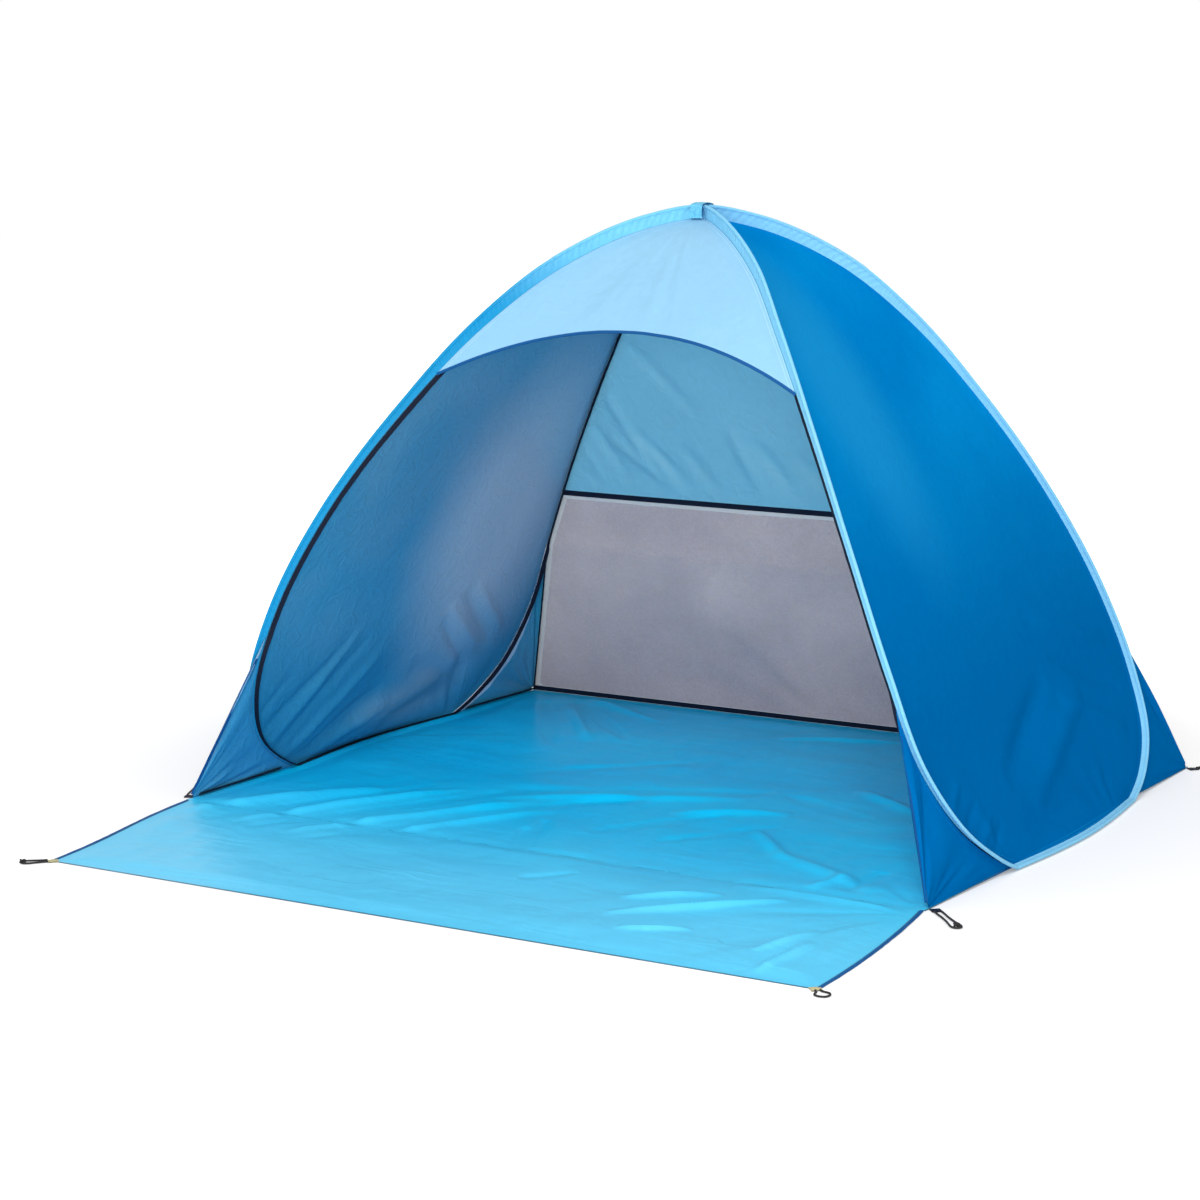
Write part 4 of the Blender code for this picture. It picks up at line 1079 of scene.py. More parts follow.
# %% Sleeves, wires and crimps
for side, word in sides:
    path = mirrored(seam_path, side)
    outward, sideways = mirrored(fin, side), mirrored(fin_side, side)
    # The left sleeve's face toward the tent's middle has a finish of painted shade: the pale sleeve cloth
    # made darker
    faces_out = float((sideways[:, 0] * side).mean()) > 0
    finishes = (sleeve_painted_shade, sleeve_pale) if faces_out else (sleeve_pale, sleeve_painted_shade)
    finishes = finishes if side < 0 else (sleeve_pale, sleeve_pale)
    long_path = path.copy()
    long_path[0] -= sleeve_overrun * directions(path)[0]
    long_path[-1] += sleeve_overrun * directions(path)[-1]
    sleeve = swept(f"wire_sleeve_{word}", long_path, outward, sideways, sleeve_profile(side), *finishes)
    replace_with(sleeve, f"hoop_sleeve_{word}", f"{word}_hoop")
    routes = (path + outward * wire_out[:, None], outward, sideways)
    every_third = [way[::3] for way in routes]
    wire = swept(f"spring_wire_{word}", *every_third, circle(12) * wire_radius, spring_steel)
    replace_with(wire, f"hoop_wire_{word}", f"{word}_hoop")
    middle = (foot_span[0] + foot_span[1]) // 2
    at_foot = [way[middle - 10 : middle + 11] for way in routes]
    pressed = (1 - 0.12 * (np.arange(21) % 7 == 3))[:, None, None]
    crimp = swept(f"wire_crimp_{word}", *at_foot, circle(12) * crimp_radius * pressed, spring_steel)
    replace_with(crimp, f"wire_ferrule_{word}", f"{word}_hoop")
print(f"each sleeve and wire follows {seam_run[-1]:.3f} m of seam")

# %% [markdown]
# ## Brow
#
# The brow is the pale cloth over the entrance. It hangs between the two front seams like a saddle and
# ends in an arched hem. Pulled cloth wrinkles in the direction of the pull, so its creases run down
# and outward from the crossing, and short ones leave each seam.

# %% Brow surface
brow_rows, brow_columns = 72, 140


def saddle_grid():
    """Rows whose middles sink from the crossing to the hem while their ends follow the seam; height
    grows with the square of the share across, and depth follows the hoop's own edge."""
    heights = heights_along(front_rise, top_row, brow_rows, hem_end_height)
    edges = on_edge(front_rise, heights)
    over = np.linspace(-1.0, 1.0, brow_columns + 1)
    falls = (heights[0] - heights) / (heights[0] - hem_end_height)
    middles = heights[0] - falls * (heights[0] - hem_middle_height)
    z = middles[:, None] + (edges[:, 2] - middles)[:, None] * over[None] ** 2
    y = on_edge(front_rise, z.ravel())[:, 1].reshape(z.shape)
    y = y + 0.008 * np.sin(math.pi * falls)[:, None] * (1 - over**2)[None]
    x = edges[:, :1] * over[None]
    return np.dstack([x, y, z]), falls


def folded(grid, folds, level, top, foot, least=0.0):
    """The grid moved along its normals by its folds. They fade out at the sides, at the top (level 0)
    and at the foot (level 1), where at least this share of them stays; top and foot are how many
    times they rise within the cloth's height."""
    over = np.linspace(-1.0, 1.0, grid.shape[1])[None]
    level = level[:, None]
    room = np.clip((1 - over**2) * 5, 0, 1) * np.clip(level * top, 0, 1)
    room = room * (least + (1 - least) * np.clip((1 - level) * foot, 0, 1))
    return grid + grid_normals(grid) * (folds * room)[..., None]


brow_grid, falls = saddle_grid()
x, z = brow_grid[..., 0], brow_grid[..., 2]
brow_folds = 0.0022 * fan_folds(x, z, (0.0, 1.09), 0.30, 22, 31)
brow_folds = brow_folds + 0.0005 * noise(x + 2, z * 2.5 + 2, 0.05, 33)
brow_folds = brow_folds + 0.0018 * noise(x + 2, z + 2, 0.14, 34)
brow_grid = folded(brow_grid, brow_folds, falls, 5, 6, 0.35)
print(f"brow folds of up to {1000 * np.abs(brow_folds).max():.1f} mm")


def turn_with_hoop(piece):
    """Bakes the piece's place into its mesh."""
    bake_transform(piece)


def cut_at_middle(count):
    """The left and the right half of a row of this many points; both have the middle one."""
    middle = count // 2
    return ("left", slice(None, middle + 1)), ("right", slice(middle, None))


def halves(name, grid, outside, inside, node, slot, held, rests_on, seam, normals=None, **options):
    """A cloth cut at the middle into a right and a left half that share their shading."""
    normals = grid_normals(grid) if normals is None else normals
    for word, part in cut_at_middle(grid.shape[1]):
        half = grid[:, part]
        piece = cloth(f"{name}_{word}", half, normals[:, part], outside, inside, seam[:, part], **options)
        replace_with(piece, node)
        turn_with_hoop(piece)


between_hoops = ["hoop_sleeve_right", "hoop_sleeve_left"]
brow_place = ("front_brow", "sky_cloth", "stretched", between_hoops)
halves("brow", brow_grid, sky_outside, sky_inside, *brow_place, seam_map(brow_grid))

# %% [markdown]
# ## Tapes
#
# Woven tape covers each seam inside. It is a thin flat ribbon that follows the seam, with a little
# waviness, because a machine sews it on under tension.


# %% Tape sections: where each starts outward of its seam, its width and its thickness
black_section = (0.0022, 0.0092, 0.0016)
entrance_section = (-0.0005, 0.0065, 0.0018)
hem_section = (-0.0010, 0.0060, 0.0018)
porch_section = (-0.0004, 0.0062, 0.0014)
window_head_section = (-0.0062, 0.0124, 0.0022)
window_foot_section = (-0.0108, 0.0123, 0.0020)
tape_out = np.array((0.0, 0.04, 0.5, 0.96, 1.0, 0.96, 0.5, 0.04))
tape_side_shares = np.array((0.0, -1.0, -1.0, -1.0, 0.0, 1.0, 1.0, 1.0))
tape_step = 0.004


# %% Tape
def tape(name, path, outward, sideways, section, finish, seed, wave=0.0003):
    """A flat section with rounded edges carried along a path, from start to start + width outward.
    Its outer edge wanders by a smooth noise along the run."""
    start, width, thickness = section
    run = arc_lengths(path)
    wander = wave * noise(run, run * 0, 0.016, seed) + wave * noise(run, run * 0, 0.055, seed + 1)
    corners = np.stack([tape_out * width + start, tape_side_shares * (thickness / 2)], axis=1)
    profile = np.repeat(corners[None], len(path), axis=0)
    profile[..., 0] += wander[:, None] * tape_out[None]
    profile[..., 1] += 0.6 * wander[::-1, None]
    return swept(name, path, outward, sideways, profile, finish)


def straight_tape(name, start, end, inward, side, section, finish, seed):
    """A tape along a straight seam, with the same directions all the way."""
    count = round(np.linalg.norm(end - start) / tape_step)
    path = start + (end - start) * np.linspace(0.0, 1.0, count)[:, None]
    outward = np.repeat(mirrored(unit(inward), side)[None], count, axis=0)
    sideways = np.repeat(mirrored(unit(np.cross(end - start, inward)), side)[None], count, axis=0)
    return tape(name, mirrored(path, side), outward, sideways, section, finish, seed)


def half_tapes(name, row, outward, sideways, section, finish, node, slot, seed):
    """A tape along a row of a cloth, cut at the middle into two halves, each with its place baked into
    its mesh."""
    for word, part in cut_at_middle(len(row)):
        ways = (row[part], outward[part], sideways[part])
        piece = tape(f"{name}_{word}", *ways, section, finish, seed, 0.0)
        replace_with(piece, node)
        turn_with_hoop(piece)


# %% Brow hem
hem_along = directions(brow_grid[-1])
brow_faces = grid_normals(brow_grid)[-1]
hem_down = across(np.cross(brow_faces, hem_along), hem_along)
hem_down *= -np.sign(hem_down[:, 2:])
hem_ways = (brow_grid[-1], hem_down, brow_faces)
half_tapes("brow_hem", *hem_ways, hem_section, tape_navy, "brow_hem", "navy_tape", 41)
print(f"hem of {arc_lengths(brow_grid[-1])[-1]:.3f} m")

# %% [markdown]
# ## Back wall and window
#
# The back wall is cloth above and net below, with a black tape where they meet and another where the
# net meets the floor. Its rows run level from seam to seam and dip in a little, pulled by the hoops.

# %% Back wall rows and folds
wall_rows, wall_columns = 136, 220


def wall_grid(edges, columns):
    """Level rows between two side edges. The middle is drawn in by a sine over the height."""
    over = np.linspace(-1.0, 1.0, columns + 1)
    grid = edges[:, None] * np.stack([over, np.ones_like(over), np.ones_like(over)], axis=1)
    tall = (seam_top - edges[:, 2]) / seam_top
    grid[:, :, 1] -= 0.010 * np.sin(math.pi * tall)[:, None] * (1 - over**2)[None]
    return grid


# Folds of the back wall, in X and Z: they run down from the left seam, steeper toward the middle.
# Every other one is repeated on the right, mirrored
back_wall_folds = (
    (-0.36, 0.83, -0.20, 0.66, 0.012, 0.004),
    (-0.42, 0.71, -0.32, 0.52, 0.011, -0.005),
    (-0.47, 0.64, -0.38, 0.50, 0.010, 0.005),
    (-0.43, 0.61, -0.24, 0.47, 0.010, -0.006),
    (-0.38, 0.64, -0.22, 0.48, 0.010, 0.006),
    (-0.34, 0.60, -0.26, 0.47, 0.009, -0.005),
    (-0.26, 0.60, -0.16, 0.47, 0.012, 0.006),
    (-0.14, 0.64, -0.07, 0.48, 0.012, -0.006),
    (-0.09, 0.62, 0.02, 0.47, 0.013, 0.007),
    (-0.53, 0.54, -0.42, 0.47, 0.009, 0.004),
    (-0.50, 0.59, -0.44, 0.49, 0.009, -0.004),
    (0.00, 0.60, 0.08, 0.50, 0.012, 0.005),
)

# %% Back wall
wall_heights = heights_along(front_rise, top_row, wall_rows, window_high)
wall_edges = on_edge(back_rise, wall_heights)
back_grid = wall_grid(wall_edges, wall_columns)
x, z = back_grid[..., 0], back_grid[..., 2]
wall_fans = (
    (0.0, 1.10, 0.62, 24, 0.0060),
    (0.50, 0.50, 0.42, 19, 0.0055),
    (-0.50, 0.50, 0.42, 19, 0.0055),
)
wall_folds = 0.5 * all_fans(x, z, wall_fans, 51) + 0.0020 * noise(x + 2, z + 2, 0.09, 54)
wall_folds = wall_folds + 1.25 * line_folds(x, z, back_wall_folds)
wall_folds = wall_folds + line_folds(-x, z, back_wall_folds[::2])
back_grid = folded(back_grid, wall_folds, np.linspace(0.0, 1.0, wall_rows + 1), 6, 9)
wall_place = ("back_panel", "sky_cloth", "stretched", between_hoops)
halves("back_wall", back_grid, sky_outside, sky_inside, *wall_place, seam_map(back_grid))

# %% Window net
back_corner = np.array((half_floor, half_depth, corner_height))
seam_head = on_edge(back_rise, np.array([back_gusset_height]))[0]
net_foot_height = corner_height + 0.0103
upper = on_edge(back_rise, np.linspace(window_low, back_gusset_height, 13))
falls = np.linspace(0.0, 1.0, 34)[1:, None]
foot_share_net = (seam_head[2] - net_foot_height) / (seam_head[2] - corner_height)
lower = seam_head + (back_corner - seam_head) * falls * foot_share_net
net_edges = np.vstack([upper, lower])
net_columns = 120
net_thickness = 0.0006
net_grid = wall_grid(net_edges, net_columns)
x, z = net_grid[..., 0], net_grid[..., 2]
net_folds = 0.006 * noise(x + 3, z * 0.7 + 3, 0.16, 55)
net_folds = net_folds + 0.004 * fan_folds(x, z, (0.0, -0.02), 0.45, 14, 56)
net_grid = folded(net_grid, net_folds, np.linspace(0.0, 1.0, len(net_edges)), 8, 8)
down = np.linalg.norm(np.diff(net_grid, axis=0), axis=2).cumsum(axis=0)
down = np.vstack([np.zeros((1, down.shape[1])), down])
net_seam = seam_map(net_grid)
net_seam[..., 1] = np.minimum(np.minimum(net_seam[..., 1], down + 0.006), down[-1:] - down + 0.012)
net_place = ("mesh_window", "mesh_net", "stretched", [*between_hoops, "floor_sheet"])
halves("window_net", net_grid, window_net, window_net, *net_place, net_seam, thickness=net_thickness)


# %% Tapes over and under the window
def wall_tape(name, row, rise, section, node, seed):
    """A black tape along a row of the back wall, as wide as its section in the wall's rise."""
    along = directions(row)
    upward = across(rise, along)
    sideways = np.cross(along, upward)
    half_tapes(name, row, upward, sideways, section, tape_black, node, "black_tape", seed)


tape_columns = 168
window_row = wall_grid(wall_edges[-1:], tape_columns)[0] + wall_grid(net_edges[:1], tape_columns)[0]
window_row /= 2
window_row[(0, -1), 0] *= 0.997
head_rise = unit(wall_edges[-1] - net_edges[0]) * (0.0, 1.0, 1.0)
wall_tape("window_head_tape", window_row, head_rise, window_head_section, "window_top_binding", 61)
net_foot = wall_grid(net_edges[-1:], tape_columns)[0]
line_along = unit(back_corner - seam_head)
foot_rise = unit(np.array((0.0, line_along[1] / line_along[2], 1.0)))
wall_tape("window_foot_tape", net_foot, foot_rise, window_foot_section, "back_floor_binding", 62)

# %% [markdown]
# ## Gussets
#
# A gusset joins each hoop's lower curve to a corner of the floor. It is part of a cone: straight lines
# from the corner to the seam. It is pulled only along its edges, so loose folds run down from the seam
# to the corner.


# %% Gusset
gusset_lines, gusset_columns = 71, 61
gusset_inside = np.array((0.2, 0.0, 0.4))


def gusset(side, end, seed):
    """Straight lines from a floor corner to the hoop's edge below the head, with folds that follow
    the lines: noise and two bells over the lines' number, widest halfway along."""
    front_corner = np.array((half_floor + side * floor_lean, -half_depth + 0.006, corner_height))
    corner, rise, high, foot_allowance = back_corner, back_rise, back_gusset_height, 0.0030
    if end == "front":
        corner, rise, high, foot_allowance = front_corner, front_rise, front_gusset_height, 0.0050
    head = on_edge(rise, np.array([high]))[0]
    fine = heights_along(rise, high, 200)
    heights = np.interp(np.linspace(0.0, 1.0, gusset_lines), np.linspace(0.0, 1.0, len(fine)), fine)
    edge = on_edge(rise, heights)
    edge[-1] = rise[-1]
    inward = across(corner - edge, directions(edge))
    edge = edge + inward * np.linspace(0.0020, foot_allowance, len(edge))[:, None]
    lengths = np.linalg.norm(edge - corner, axis=1)[:, None]
    trim = 0.010 / lengths
    reach = trim + (1 - trim) * np.linspace(0.0, 1.0, gusset_columns)[None]
    grid = corner * (1 - reach)[..., None] + edge[:, None] * reach[..., None]
    number = np.linspace(0.0, 1.0, len(edge))[:, None]
    belly = np.sin(math.pi * np.clip(reach, 0, 1)) ** 0.8 * np.clip(number * 7, 0, 1)
    belly = belly * np.clip((1 - number) * 6, 0, 1)
    folds = 0.0050 * noise(number * 7.0 + reach * 0.6, reach * 1.2, 1.0, seed)
    folds = folds + 0.0028 * noise(number * 17.0 + reach, reach * 2.5, 1.0, seed + 1)
    folds = folds + 0.0060 * bell(number, 0.16, 0.07) - 0.0045 * bell(number, 0.30, 0.06)
    grid = grid + grid_normals(grid, gusset_inside) * (folds * belly)[..., None]
    grid[..., 2] = np.maximum(grid[..., 2], corner_height)
    normals = grid_normals(grid, gusset_inside)
    run = np.repeat(arc_lengths(edge)[:, None], gusset_columns, axis=1)
    seam = np.dstack([run, (1 - reach) * lengths])
    return mirrored(grid, side), mirrored(normals, side), seam, corner, head


gussets = {}
for side, word in sides:
    for end, seed in (("front", 71), ("back", 81)):
        grid, normals, seam, corner, head = gusset(side, end, seed + (side < 0) * 3)
        lining = front_inside if end == "front" else back_inside
        piece = cloth(f"gusset_cloth_{end}_{word}", grid, normals, deep_outside, lining, seam)
        replace_with(piece, f"gusset_{end}_{word}", f"{word}_hoop")
        gussets[end, side] = (piece, grid, corner, head)
        print(f"{end} gusset {word}: {np.linalg.norm(head - corner):.3f} m from corner to head")

# %% [markdown]
# ## Seam tapes on the hoops
#
# Seen from inside, a black tape outlines each side wall and each floor seam, and a navy one edges the
# entrance. The one round the hoop lies halfway between the two cloths that meet in the seam.

# %% Directions of the hoop's tape
def level_normals(curve, axis):
    """Normals of a cloth whose rows run level, from the slope of its edge against height."""
    slope = np.gradient(curve[:, axis]) / np.minimum(np.gradient(curve[:, 2]), -1e-6)
    normals = np.zeros_like(curve)
    normals[:, axis] = 1.0
    normals[:, 2] = -slope
    return unit(normals)


def into_cloth(normals, target):
    """Directions square to the seam that lie in the cloth and point to the target."""
    inward = unit(np.cross(normals, seam_along))
    return inward * np.sign(((target - seam_path) * inward).sum(axis=1))[:, None]


tent_middle = np.array((0.0, 0.0, seam_top / 3))
wall_middle = np.array((0.8 * hoop_reach, 0.0, 0.33 * seam_top))
beyond = np.array((-1.5, 0.0, seam_top / 2))
first, second = foot_span
rising, falling = seam_path[: first + 1], seam_path[second:][::-1]
foot_count = second - first - 1
rising_normals = level_normals(rising, 0)
side_foot = np.repeat(rising_normals[-1:], foot_count, axis=0)
side_normals = np.vstack([rising_normals, side_foot, level_normals(falling, 0)[::-1]])
into_side = into_cloth(side_normals, wall_middle)
end_foot = np.repeat([[0.0, 0.0, 1.0]], foot_count, axis=0)
end_normals = np.vstack([level_normals(rising, 1), end_foot, level_normals(falling, 1)[::-1]])
into_end = into_cloth(end_normals, beyond)
heights = seam_path[:, 2:]
front_share = np.arange(len(seam_path))[:, None] < (first + second) / 2
corner_high = np.where(front_share, front_gusset_height, back_gusset_height)
corner_of = np.where(front_share, gussets["front", 1][2], gussets["back", 1][2])
to_corner = across(unit(corner_of - seam_path), seam_along)
lower = np.clip((corner_high - heights) / 0.03 + 0.5, 0.0, 1.0)
other = unit(into_end * (1 - lower) + to_corner * lower)


def faces_inside(ways):
    """The face directions toward the inside of a cloth that meets the seam."""
    faces = np.cross(seam_along, ways)
    return faces * np.sign((faces * (tent_middle - seam_path)).sum(axis=1))[:, None]


tape_in = unit(faces_inside(into_side) + faces_inside(other))
off_foot = np.maximum(seam_run[first] - seam_run, seam_run - seam_run[second])[:, None]
past = np.clip(off_foot / foot_reach, 0.0, 1.0)
tape_in = across(tape_in * past + np.array((-1.0, 0.0, 0.0)) * (1 - past), seam_along)
tape_in = across(smoothed(tape_in, 60), seam_along)
tape_side = np.cross(seam_along, tape_in)

# %% Hoop tapes and straight tapes
for side, word in sides:
    ways = [mirrored(way[14:-14:2], side) for way in (seam_path, tape_in, tape_side)]
    hoop_tape = tape(f"hoop_tape_{word}", *ways, black_section, tape_black, 91)
    replace_with(hoop_tape, f"hoop_binding_{word}", f"{word}_hoop")
    front_corner, front_head = gussets["front", side][2:]
    line = unit(front_head - front_corner)
    inward = across(on_edge(front_rise, np.array([0.25]))[0] - front_head, line)
    entrance_tape = straight_tape(
        f"entrance_tape_{word}", front_corner + 0.010 * line, front_head - 0.045 * line, inward, side,
        entrance_section, tape_navy, 93,
    )
    replace_with(entrance_tape, f"entrance_binding_{word}", f"{word}_hoop")
    gusset_in = across(on_edge(back_rise, np.array([0.30]))[0] - seam_head, line_along)
    net_in = across(np.array((-1.0, 0.0, 0.0)), line_along)
    corner_tape = straight_tape(
        f"corner_tape_{word}", back_corner - 0.0065 * line_along, seam_head + 0.040 * line_along,
        gusset_in + net_in, side, black_section, tape_black, 95,
    )
    replace_with(corner_tape, f"corner_binding_{word}", f"{word}_hoop")
    feet = (("front", front_corner, front_rise[-1], 0.024), ("back", back_corner, back_rise[-1], 0.003))
    for end, corner, foot, from_corner in feet:
        run = unit(foot - corner)
        upward = across(np.array((-1.0, 0.0, 0.7)), run)
        piece = straight_tape(
            f"floor_tape_{end}_{word}", corner + from_corner * run, foot - 0.050 * run, upward, side,
            black_section, tape_black, 97,
        )
        replace_with(piece, f"floor_binding_{end}_{word}", f"{word}_hoop")

# %% [markdown]
# ## Crossing tie
#
# Where the wire passes over itself, a short band of the sleeve's cloth wraps the crossing and is sewn
# down in front and behind. A web of the same cloth closes it in the middle, so that nothing is seen
# through it, also when the hoops fold and their sleeves swing apart under it.

# %% Band over the crossing: half its outline, as shares of its reach to the front and of its height
half_tie = ((0.72, 1.0), (0.82, 0.97), (0.9, 0.86), (0.95, 0.7), (0.98, 0.5), (1.0, 0.0))
tie_reach = 0.024
tie_top = 1.0988
tie_half_width = 0.0125
tie_columns = 27
tie_middle = np.array((0.0, -hoops_forward, 1.07))
tie_points = np.array([(-y, z) for y, z in half_tie[::-1]] + list(half_tie))
tie_y = tie_reach * tie_points[:, 0] - hoops_forward
tie_z = tie_top - tie_reach * (1 - tie_points[:, 1])
tie_path = smooth_curve(np.stack([tie_y * 0, tie_y, tie_z], axis=1), 6)
tie_run = arc_lengths(tie_path)[:, None]
tie_over = np.linspace(-tie_half_width, tie_half_width, tie_columns)[None]
tie_out = np.cross(np.array((1.0, 0.0, 0.0)), directions(tie_path))
tie_out *= np.sign((tie_out * (tie_path - tie_middle)).sum(axis=1))[:, None]
ripple = 0.0007 * noise(tie_over * 90 + 2, tie_run * 12, 0.2, 101) + 0.0014
tie_grid = tie_path[:, None] + tie_over[..., None] * (1.0, 0.0, 0.0)
tie_grid = tie_grid + tie_out[:, None] * ripple[..., None]
from_side = tie_half_width - np.abs(tie_over)
tie_seam = np.dstack([tie_run + from_side * 0, tie_run * 0 + from_side])
tie = cloth("crossing_band", tie_grid, grid_normals(tie_grid, tie_middle), tie_cloth, tie_cloth, tie_seam)
replace_with(tie, "crossing_tie", "canopy")
print(f"crossing band of {tie_run[-1, 0] * 1000:.0f} by {tie_half_width * 2000:.0f} mm")

# %% Web in the band's middle, upright, in the band's outline
web_y, web_z = np.meshgrid(np.linspace(-1.0, 1.0, 15), np.linspace(0.02, 0.93, 11))
web_shape = ((0.0, 0.5, 0.7, 0.86, 0.97), (1.0, 0.98, 0.95, 0.9, 0.82))
half_width = tie_reach * np.interp(web_z, *web_shape) - 0.0015
web_height = tie_top - tie_reach + tie_reach * web_z
web_grid = np.dstack([web_y * 0, web_y * half_width - hoops_forward, web_height])
web_seam = np.dstack([web_y * tie_reach, tie_reach / 2 - tie_reach * np.abs(web_z - 0.5)])
web_normals = np.broadcast_to((1.0, 0.0, 0.0), web_grid.shape).copy()
web = cloth("crossing_web", web_grid, web_normals, tie_cloth, tie_cloth, web_seam)
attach(web, "canopy")

# %% [markdown]
# ## Floor and porch
#
# One cloth makes the floor and the porch, and lies on the ground. Creases from folding cross it, and
# it lifts into low wrinkles that run out of the corners and the hoops' feet. It is one height over the
# ground, never below it, cut at the entrance and at the middle, where it folds.

# %% Floor grid
floor_rows, porch_rows, floor_columns = 200, 110, 300


def floor_edges(y):
    """X of the left and right edges of the cloth at each Y."""
    edges = []
    for side in (-1, 1):
        edge_x, edge_y = floor_side(side).T
        at_entrance, at_front = porch_side(side)
        share = np.clip((-half_depth - y) / porch_length, 0.0, 1.0)
        bulge = 0.010 * 4 * share * (1 - share) if side > 0 else 0.004 * np.sin(2 * math.pi * share)
        into_corner = np.clip((porch_end + corner_cut - y) / corner_cut, 0, 1)
        round_off = np.sqrt(np.clip(1 - into_corner**2, 0, 1))
        porch_x = at_entrance + (at_front - at_entrance) * share
        porch_x = porch_x + side * (bulge - corner_cut * (1 - round_off))
        edges.append(np.where(y >= -half_depth, side * np.interp(y, edge_y, edge_x), porch_x))
    return edges


# Long creases of the floor and porch, in X and Y: streaks from the left entrance corner, short ones
# from the back corners, level arcs in the middle, and bright ones at the porch's right
floor_folds = (
    (-0.74, -0.67, -0.50, -0.35, 0.016, 0.007),
    (-0.66, -0.70, -0.43, -0.27, 0.012, -0.006),
    (-0.60, -0.69, -0.36, -0.27, 0.012, 0.007),
    (-0.55, -0.72, -0.28, -0.24, 0.012, -0.006),
    (-0.47, -0.72, -0.20, -0.28, 0.012, 0.006),
    (-0.41, -0.74, -0.15, -0.30, 0.012, -0.006),
    (-0.31, -0.62, -0.13, -0.33, 0.012, 0.006),
    (-0.11, -0.47, -0.03, -0.62, 0.010, -0.005),
    (-0.66, 0.50, -0.42, 0.13, 0.012, -0.006),
    (-0.60, 0.50, -0.38, 0.21, 0.011, 0.006),
    (-0.62, 0.56, -0.31, 0.25, 0.011, -0.006),
    (-0.62, 0.59, -0.34, 0.43, 0.010, 0.005),
    (-0.34, -0.10, -0.10, 0.14, 0.014, -0.005),
    (-0.30, -0.24, 0.16, -0.01, 0.016, -0.006),
    (-0.28, -0.30, 0.14, -0.08, 0.014, 0.006),
    (-0.28, -0.44, -0.01, -0.15, 0.013, -0.006),
    (0.00, -0.44, 0.16, -0.20, 0.013, -0.006),
    (0.06, -0.24, 0.26, -0.14, 0.012, 0.006),
    (0.14, -0.44, 0.28, -0.23, 0.011, -0.005),
    (0.24, -0.26, 0.40, -0.44, 0.011, 0.005),
    (0.18, -0.01, 0.40, -0.11, 0.012, -0.005),
    (0.29, 0.08, 0.46, -0.03, 0.012, 0.006),
    (-0.05, 0.42, 0.20, 0.51, 0.012, 0.005),
    (0.27, -0.79, 0.41, -0.69, 0.008, 0.006),
    (0.29, -0.88, 0.52, -0.67, 0.008, 0.007),
    (0.35, -0.95, 0.46, -0.89, 0.007, 0.005),
    (0.60, -0.95, 0.64, -0.80, 0.008, 0.006),
    (0.65, -1.05, 0.66, -0.87, 0.008, 0.006),
    (0.53, -0.93, 0.60, -0.84, 0.008, -0.005),
    (0.57, -0.56, 0.58, -0.42, 0.010, -0.005),
    (0.51, -0.58, 0.54, -0.48, 0.010, 0.005),
    (-0.04, -0.58, -0.11, -0.40, 0.010, -0.005),
    (0.06, -0.77, 0.13, -0.69, 0.010, -0.004),
    (0.62, -0.55, 0.36, -0.40, 0.016, 0.005),
    (0.70, -0.62, 0.40, -0.62, 0.016, 0.005),
)


# Fans out of the four corners and the two hoops' feet: X, Y, reach, count and height
floor_fans = (
    (-0.80, -0.62, 0.75, 22, 0.0045),
    (0.74, -0.62, 0.75, 24, 0.0045),
    (0.76, 0.62, 0.60, 20, 0.0040),
    (-0.76, 0.62, 0.60, 20, 0.0040),
    (0.80, 0.0, 0.45, 18, 0.0035),
    (-0.80, 0.0, 0.45, 18, 0.0035),
)


def floor_height(x, y):
    """Height of the cloth over the ground: f is the sum of the fans, soft noise, the long creases and
    three millimetres, and (f + sqrt(f² + e²)) / 2 keeps it above zero, with e one millimetre."""
    f = 0.55 * all_fans(x, y, floor_fans, 111)
    f = f + 0.0016 * noise(x + 4, y * 2 + 4, 0.13, 117) + 0.0008 * noise(x * 2 + 4, y + 4, 0.06, 118)
    f = f + 0.0030 + 1.4 * line_folds(x, y, floor_folds)
    return (f + np.sqrt(f * f + 1e-6)) / 2


# %% Floor surface
floor_end = half_depth + floor_margin
y_floor = np.linspace(floor_end, -half_depth, floor_rows + 1)
front_shares = np.linspace(0.0, 1.0, porch_rows + 1)[1:]
y_porch = -half_depth - porch_length * (1 - (1 - front_shares) ** 1.15)
y_all = np.concatenate([y_floor, y_porch])
left_x, right_x = floor_edges(y_all)
half_columns = np.linspace(0.0, 1.0, floor_columns // 2 + 1)
x = np.hstack([left_x[:, None] * (1 - half_columns[None]), right_x[:, None] * half_columns[None, 1:]])
y = np.repeat(y_all[:, None], x.shape[1], axis=1)
side_gap = np.minimum(x - left_x[:, None], right_x[:, None] - x)
edge_gap = np.minimum(np.minimum(side_gap, floor_end - y), y - porch_end)
calm = eased(np.clip(np.abs(y + half_depth) / 0.03, 0.0, 1.0))
fade = eased(np.clip((edge_gap - 0.006) / 0.06, 0.0, 1.0)) * (0.04 + 0.96 * calm)
seam_rise = np.interp(y_all, (-0.62, -0.60, -0.287, 0.273, 0.60), (0.0, 0.0004, 0.0070, 0.0070, 0.0004))
near_side = eased(np.clip((0.034 - side_gap) / 0.026, 0.0, 1.0))
near_back = eased(np.clip((0.030 - (floor_end - y)) / 0.024, 0.0, 1.0))
z = floor_height(x, y) * fade
z = np.maximum(z, np.maximum(seam_rise[:, None] * near_side, 0.0007 * near_back))
floor_grid = np.dstack([x, y, z + 0.00045])
floor_normals = grid_normals(floor_grid, np.array((0.0, 0.0, -1.0)))
print(f"floor wrinkles rise to {z.max() * 1000:.1f} mm")

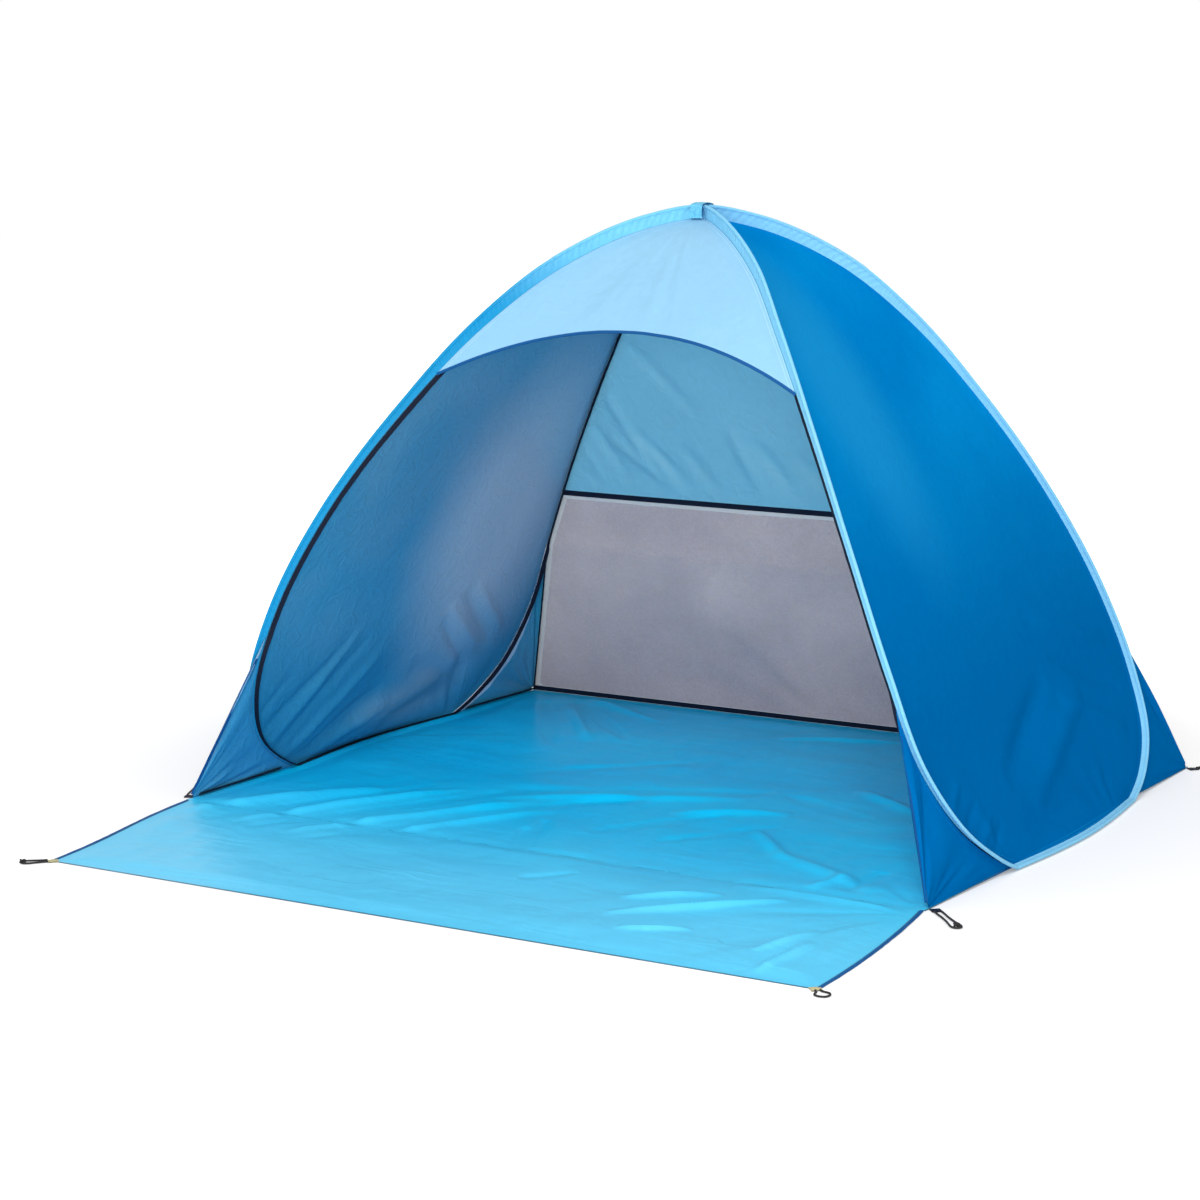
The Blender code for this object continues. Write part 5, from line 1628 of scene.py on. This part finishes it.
# %% Floor halves and porch
seam = np.dstack([np.where(x < 0, y, y + 5.0), edge_gap])
cabin = slice(None, floor_rows + 1)
porch_grid = floor_grid[floor_rows:].copy()
porch_grid[0, :, 1] -= 0.0002
floor_grid[floor_rows, :, 1] += 0.0008
floor_place = ("floor_sheet", "floor_cloth", "laid", ["ground"])
halves("floor", floor_grid[cabin], floor_top, floor_under, *floor_place, seam[cabin], floor_normals[cabin])
outer = slice(floor_rows, None)
porch = cloth("porch_cloth", porch_grid, floor_normals[outer], floor_top, floor_under, seam[outer])
replace_with(porch, "porch_flap", "porch")
edge_tapes = []
for side, word in sides:
    edge = porch_grid[:, -1 if side > 0 else 0]
    edge = edge[(edge[:, 1] > porch_end + 0.004) & (edge[:, 1] < -half_depth - 0.002)]
    along = directions(edge)
    outward = across(np.array((float(side), 0.0, 0.0)), along)
    ways = (edge + (0.0, 0.0, 0.0006), outward, np.cross(along, outward))
    edge_tape = tape(f"porch_tape_{word}", *ways, porch_section, tape_navy, 121)
    replace_with(edge_tape, f"porch_binding_{word}", "porch")
    edge_tapes.append(edge_tape)
porch_pieces = [porch, *edge_tapes]
for name in ("porch_right", "porch_left"):
    piece, cord, extras = loops[name]
    porch_pieces += [piece, cord, *extras]
for piece in porch_pieces:
    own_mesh(piece)

# %% [markdown]
# ## Floor of the studio, and light
#
# A pale floor shows white to the camera and keeps the tent's shadow. Two wide soft lamps stand in
# front of the tent, one high above it and a low one that lights its inside. The sky round it is white
# to the camera and a plain grey as light, a little brighter above, so that colours come out as they
# are written.

# %% Studio floor
ground_mesh = bpy.data.meshes.new("ground")
corners = [(-15, -15, -0.0004), (15, -15, -0.0004), (15, 15, -0.0004), (-15, 15, -0.0004)]
ground_mesh.from_pydata(corners, [], [(0, 1, 2, 3)])
ground = bpy.data.objects.new("ground", ground_mesh)
bpy.context.scene.collection.objects.link(ground)
pale, tree, shader, place = new_material("studio_floor")
seen = add(tree, "ShaderNodeLightPath").outputs["Is Camera Ray"]
from_tent = vector_maths(tree, "LENGTH", place)
glow = times(tree, seen, ramp(tree, from_tent, 0.9, 2.4, 0.24, 1.0, "SMOOTHSTEP"))
white = (1.0, 1.0, 1.0, 1.0)
finish = {"Base Color": (0.86, 0.86, 0.86, 1.0), "Roughness": 1.0, "Specular IOR Level": 0.0}
feed(tree, shader, finish | {"Emission Color": white, "Emission Strength": glow})
ground_mesh.materials.append(pale)

# %% Sky
world = bpy.data.worlds.new("studio")
world.use_nodes = True
bpy.context.scene.world = world
tree = world.node_tree
rays = add(tree, "ShaderNodeLightPath").outputs
white_seen = maths(tree, "MAXIMUM", rays["Is Camera Ray"], rays["Is Glossy Ray"])
white_seen = maths(tree, "MAXIMUM", white_seen, rays["Is Transmission Ray"])
upness = part_of(tree, add(tree, "ShaderNodeTexCoord").outputs["Generated"], "Z")
sky = maths(tree, "ADD", 0.46, times(tree, maths(tree, "MAXIMUM", upness, 0.0), 0.26))
unseen = times(tree, maths(tree, "SUBTRACT", 1.0, white_seen), sky)
strength = maths(tree, "ADD", white_seen, unseen)
feed(tree, tree.nodes["Background"], {"Color": white, "Strength": strength})


# %% Lamps
def soft_lamp(name, place, aim, size, power):
    """A square lamp at a place, turned to face a point."""
    lamp = bpy.data.lights.new(name, "AREA")
    lamp.size, lamp.energy = size, power
    made = bpy.data.objects.new(name, lamp)
    made.location = place
    made.rotation_euler = (Vector(aim) - Vector(place)).to_track_quat("-Z", "Y").to_euler()
    bpy.context.scene.collection.objects.link(made)


soft_lamp("key", (1.2, -3.4, 4.2), (0.0, -0.3, 0.3), 1.6, 88.0)
soft_lamp("front_fill", (2.6, -5.6, 0.9), (-0.1, 0.0, 0.4), 2.0, 140.0)
bpy.context.scene.view_settings.view_transform = "Standard"
